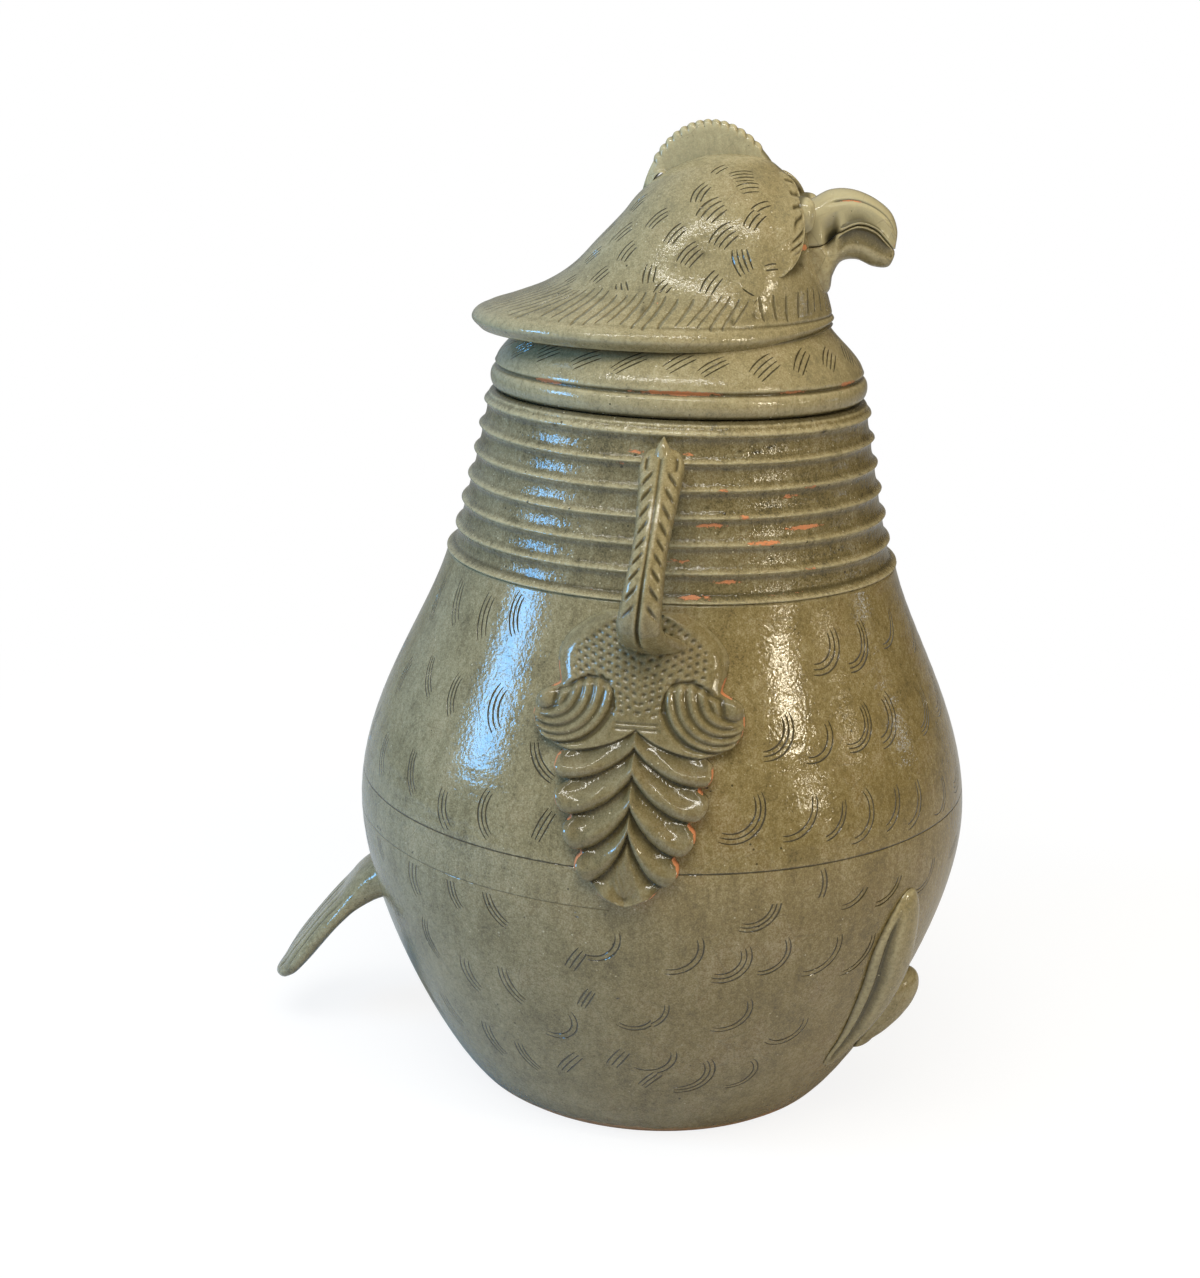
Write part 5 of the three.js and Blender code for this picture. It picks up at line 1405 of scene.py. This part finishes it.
def model_tail(m):
    """Tail: flattened rings carried down the paddle's line, rolled a little to the bird's right, with long
    shallow grooves down the upper face."""
    rows, columns = 200, 160
    tip, low = m.belly_radius + 38.2, 18.7
    t = np.linspace(0.02, 1, rows)
    line = drawn_line([(m.belly_radius - 17, low + 54), (m.belly_radius, low + 45.5),
                       (m.belly_radius + 12, low + 34), (tip - 12, low + 16), (tip, low)], t)
    tangent = np.gradient(line, axis=0)
    tangent /= np.linalg.norm(tangent, axis=1)[:, None]
    up = np.stack([-tangent[:, 1], tangent[:, 0]], 1)
    up = np.where(up[:, 1:] < 0, -up, up)
    half = knots([(0, 0.95), (0.3, 0.86), (0.55, 1), (0.8, 0.95), (0.93, 0.7), (1, 0.3)], t)[:, None] * 20
    thick = knots([(0, 2.6), (0.25, 1.7), (0.45, 1.1), (0.8, 1), (1, 0.75)], t)[:, None] * 4
    close = np.sqrt(np.clip(1 - np.clip((t - 0.965) / 0.035, 0, 1) ** 2, 0.0025, 1))[:, None]
    angle = np.arange(columns)[None, :] / columns * TURN
    c, s = power(np.cos(angle), 0.7), power(np.sin(angle), 0.8)
    x = c * half * close
    lift = s * thick * close
    feather = 0.5 * np.exp(-((np.abs((x / 6.5 + 0.15 * np.sin(t[:, None] * 9)) % 1 - 0.5) * 6.5) / 0.9) ** 2)
    lift = (lift - feather * smooth(s, 0.2, 0.7) * smooth(t, 0.35, 0.5)[:, None]
            * (1 - smooth(t, 0.88, 0.96))[:, None])
    lift = lift + 0.11 * x * smooth(t, 0.1, 0.35)[:, None] * (1 - smooth(t, 0.86, 0.99))[:, None]
    y = line[:, None, 0] + up[:, None, 0] * lift
    z = line[:, None, 1] + up[:, None, 1] * lift
    make_piece("tail_paddle", np.stack([x, y, z], -1), "tail", "jar")


# Operators


def standing(right, above, back, place):
    """Matrix of an object at a place, whose own X, Y and Z point right, above and back."""
    rows = [(*row, at) for row, at in zip(np.stack([right, above, back], 1), place)]
    return Matrix(rows + [(0, 0, 0, 1)])


class JAR_OT_stage(bpy.types.Operator):
    """Floor, lamps and the camera at the photograph's angle"""

    bl_idname = "jar.stage"
    bl_label = "Stage"

    def execute(self, context):
        scene = context.scene
        look = scene.stage_look
        view = scene.view_settings
        view.view_transform = "Standard"

        # Camera: beside the bird, turned 8 degrees from +X, tipped 15.63 degrees down and rolled a little.
        heading, down, roll = math.radians(8.0), math.radians(15.63), math.radians(-1.92)
        forward = np.array([math.cos(heading) * math.cos(down), math.sin(heading) * math.cos(down),
                            -math.sin(down)])
        level = np.array([math.sin(heading), -math.cos(heading), 0.0])
        drop = np.cross(forward, level)
        right = math.cos(roll) * level + math.sin(roll) * drop
        above = math.sin(roll) * level - math.cos(roll) * drop
        camera = bpy.data.objects.new("camera", bpy.data.cameras.new("camera"))
        camera.data.sensor_fit = "VERTICAL"
        camera.data.sensor_height = 36
        camera.data.lens = look.lens
        camera.data.clip_start = 0.01
        camera.matrix_world = standing(right, above, -forward, (-0.7515, -0.079, 0.3857))
        scene.collection.objects.link(camera)
        scene.camera = camera

        # Floor: a wide disc a hair under the base, white to the camera, with a shadow near the jar.
        rings = np.array([0.05, 0.2, 0.5, 1.2, 3.0, 7.0])
        a = np.arange(64) / 64 * TURN
        disc = np.stack(np.broadcast_arrays(rings[:, None] * np.cos(a), rings[:, None] * np.sin(a),
                                            -0.0002), -1)
        index = np.arange(disc[..., 0].size).reshape(len(rings), 64)
        quads = np.stack([index[:-1], index[1:], np.roll(index[1:], -1, 1), np.roll(index[:-1], -1, 1)], -1)
        mesh = bpy.data.meshes.new("floor")
        mesh.from_pydata(disc.reshape(-1, 3).tolist(), [], quads.reshape(-1, 4).tolist()
                         + [index[0].tolist()])
        floor = bpy.data.objects.new("floor", mesh)
        scene.collection.objects.link(floor)
        r = Recipe(bpy.data.materials.new("floor"))
        r.shader.inputs["Base Color"].default_value = (*look.floor, 1)
        r.shader.inputs["Roughness"].default_value = 0.9
        far = r.add("ShaderNodeVectorMath", operation="LENGTH")
        r.set(far.inputs[0], r.add("ShaderNodeTexCoord").outputs["Object"])
        near_edge, far_edge = 0.25, 0.7
        white = r.add("ShaderNodeEmission")
        r.set(white.inputs["Strength"], r.fade(far.outputs["Value"], near_edge, far_edge, 1.15, 1.0))
        rays = r.add("ShaderNodeLightPath")
        blend = r.add("ShaderNodeMixShader")
        output = r.tree.nodes["Material Output"]
        paper = r.fade(far.outputs["Value"], near_edge, far_edge, 0.75)
        r.set(blend.inputs[0], r.math("MULTIPLY", rays.outputs["Is Camera Ray"], paper))
        r.set(blend.inputs[1], r.shader.outputs[0])
        r.set(blend.inputs[2], white.outputs[0])
        r.set(output.inputs["Surface"], blend.outputs[0])
        mesh.materials.append(r.owner)

        # World: light of the room, warm at the front and cool at the tail, and white for the camera.
        world = bpy.data.worlds.new("room")
        scene.world = world
        w = Recipe(world)
        background = w.tree.nodes["Background"]
        path = w.add("ShaderNodeLightPath")
        seen, mirrored = path.outputs["Is Camera Ray"], path.outputs["Is Glossy Ray"]
        toward = w.add("ShaderNodeSeparateXYZ")
        w.set(toward.inputs[0], w.add("ShaderNodeTexCoord").outputs["Generated"])
        tail_side = w.fade(toward.outputs[1], -0.7, 0.7)
        room = w.mix(tail_side, (1.0, 0.82, 0.56), (0.84, 0.94, 1.0))
        w.set(background.inputs["Color"], w.mix(seen, room, (1.0, 1.0, 1.0)))
        dim = w.math("MULTIPLY", w.fade(toward.outputs[1], -0.7, 0.7, 0.62, 1.2), look.sky)
        dark_end = w.math("MULTIPLY", mirrored, w.fade(toward.outputs[1], -0.6, 0.5, 0.8, 0.0))
        dim = w.math("MULTIPLY", dim, w.math("SUBTRACT", 1.0, dark_end))
        dim = w.math("MULTIPLY", dim, w.math("SUBTRACT", 1.0, seen))
        w.set(background.inputs["Strength"], w.math("ADD", dim, seen))

        # Lamps, by the height and the turn from -X to +Y at which they stand: a leaning pane of window at
        # the tail side, small warm ones at the front side, and a broad soft one above.
        lamps = [("window", 16.5, 68, 1.22, (0.29, 0.36), look.window_power, (0.14, 0.5, 1.0)),
                 ("warm_high", 24.5, -60.5, 1.22, (0.15, 0.09), look.room_power * 1.9, (1.0, 0.9, 0.7)),
                 ("warm_front", 15.2, -85, 1.22, (0.09, 0.06), look.room_power * 0.2, (1.0, 0.88, 0.66)),
                 ("warm_low", 10.8, -62.5, 1.23, (0.13, 0.05), look.room_power * 0.7, (1.0, 0.9, 0.7)),
                 ("cool_front", 5.9, -110.6, 1.2, (0.07, 0.06), look.room_power * 0.1, (0.7, 0.84, 1.0)),
                 ("ceiling_strip", 58, 4, 1.4, (1.5, 0.05), look.room_power * 6.5, (1.0, 0.98, 0.92)),
                 ("front_fill", 50, -62, 1.5, (0.9, 0.9), look.ceiling_power * 0.3, (1.0, 0.86, 0.62)),
                 ("ceiling", 60, 14, 1.5, (1.0, 1.0), look.ceiling_power, (1.0, 0.98, 0.93))]
        target = np.array([0, 0, 0.19])
        for name, height, turn, distance, size, watts, shade in lamps:
            light = bpy.data.lights.new(name, "AREA")
            light.shape = "RECTANGLE"
            light.size, light.size_y = size
            light.energy = watts
            light.color = shade
            lamp = bpy.data.objects.new(name, light)
            # The two broad lamps light the glaze without a highlight.
            lamp.visible_glossy = size[1] < 0.8
            height, turn = math.radians(height), math.radians(turn)
            d = np.array([-math.cos(height) * math.cos(turn), math.cos(height) * math.sin(turn),
                          math.sin(height)])
            side = np.cross((0, 0, 1), d)
            side /= np.linalg.norm(side)
            top = np.cross(d, side)
            if name == "window":
                # The pane leans.
                side = side + 0.35 * top
                side /= np.linalg.norm(side)
                top = np.cross(d, side)
            lamp.matrix_world = standing(side, top, d, target + d * distance)
            scene.collection.objects.link(lamp)
        return {"FINISHED"}


class PieceOperator:
    """Shared step of the operators that make pieces."""

    def execute(self, context):
        self.make(Measures(context.scene))
        return {"FINISHED"}


class JAR_OT_body(PieceOperator, bpy.types.Operator):
    """Throw both halves of the body"""

    bl_idname = "jar.body"
    bl_label = "Body"
    make = staticmethod(throw_body)


class JAR_OT_neck(PieceOperator, bpy.types.Operator):
    """Throw the ribbed neck"""

    bl_idname = "jar.neck"
    bl_label = "Neck"
    make = staticmethod(throw_neck)


class JAR_OT_plates(PieceOperator, bpy.types.Operator):
    """Press the plates under the handles"""

    bl_idname = "jar.plates"
    bl_label = "Plates"
    make = staticmethod(press_plates)


class JAR_OT_handles(PieceOperator, bpy.types.Operator):
    """Pull the handles and their tips"""

    bl_idname = "jar.handles"
    bl_label = "Handles"
    make = staticmethod(pull_handles)


class JAR_OT_legs(PieceOperator, bpy.types.Operator):
    """Model the legs and toes"""

    bl_idname = "jar.legs"
    bl_label = "Legs"
    make = staticmethod(model_legs)


class JAR_OT_tail(PieceOperator, bpy.types.Operator):
    """Model the tail"""

    bl_idname = "jar.tail"
    bl_label = "Tail"
    make = staticmethod(model_tail)


class JAR_OT_collar(PieceOperator, bpy.types.Operator):
    """Throw the lid's collar"""

    bl_idname = "jar.collar"
    bl_label = "Collar"
    make = staticmethod(throw_collar)


class JAR_OT_head(PieceOperator, bpy.types.Operator):
    """Model the head"""

    bl_idname = "jar.head"
    bl_label = "Head"
    make = staticmethod(model_head)


class JAR_OT_crest(PieceOperator, bpy.types.Operator):
    """Cut the crest"""

    bl_idname = "jar.crest"
    bl_label = "Crest"
    make = staticmethod(cut_crest)


class JAR_OT_ruffs(PieceOperator, bpy.types.Operator):
    """Model the ruffs"""

    bl_idname = "jar.ruffs"
    bl_label = "Ruffs"
    make = staticmethod(model_ruffs)


class JAR_OT_eyes(PieceOperator, bpy.types.Operator):
    """Model the eyes"""

    bl_idname = "jar.eyes"
    bl_label = "Eyes"
    make = staticmethod(model_eyes)


class JAR_OT_beak(PieceOperator, bpy.types.Operator):
    """Model the beak"""

    bl_idname = "jar.beak"
    bl_label = "Beak"
    make = staticmethod(model_beak)


OPERATORS = (JAR_OT_stage, JAR_OT_body, JAR_OT_neck, JAR_OT_plates, JAR_OT_handles, JAR_OT_legs, JAR_OT_tail,
             JAR_OT_collar, JAR_OT_head, JAR_OT_crest, JAR_OT_ruffs, JAR_OT_eyes, JAR_OT_beak)


class JAR_PT_panel(bpy.types.Panel):
    """Owl jar"""

    bl_idname = "JAR_PT_panel"
    bl_label = "Owl jar"
    bl_space_type = "VIEW_3D"
    bl_region_type = "UI"
    bl_category = "Owl jar"

    def draw(self, context):
        for operator in OPERATORS:
            self.layout.operator(operator.bl_idname)
        for group in (context.scene.jar_sizes, context.scene.mark_sizes, context.scene.glaze_look,
                      context.scene.stage_look):
            box = self.layout.box()
            for key in group.__annotations__:
                box.prop(group, key)


GROUPS = {"jar_sizes": JarSizes, "mark_sizes": MarkSizes, "glaze_look": GlazeLook, "stage_look": StageLook}


def register():
    for name, group in GROUPS.items():
        bpy.utils.register_class(group)
        setattr(bpy.types.Scene, name, PointerProperty(type=group))
    for cls in (*OPERATORS, JAR_PT_panel):
        bpy.utils.register_class(cls)


def unregister():
    for cls in reversed((*OPERATORS, JAR_PT_panel)):
        bpy.utils.unregister_class(cls)
    for name, group in GROUPS.items():
        delattr(bpy.types.Scene, name)
        bpy.utils.unregister_class(group)


def main():
    """Make the stage and every piece."""
    register()
    for operator in OPERATORS:
        group, name = operator.bl_idname.split(".")
        getattr(getattr(bpy.ops, group), name)()


if __name__ == "__main__":
    main()
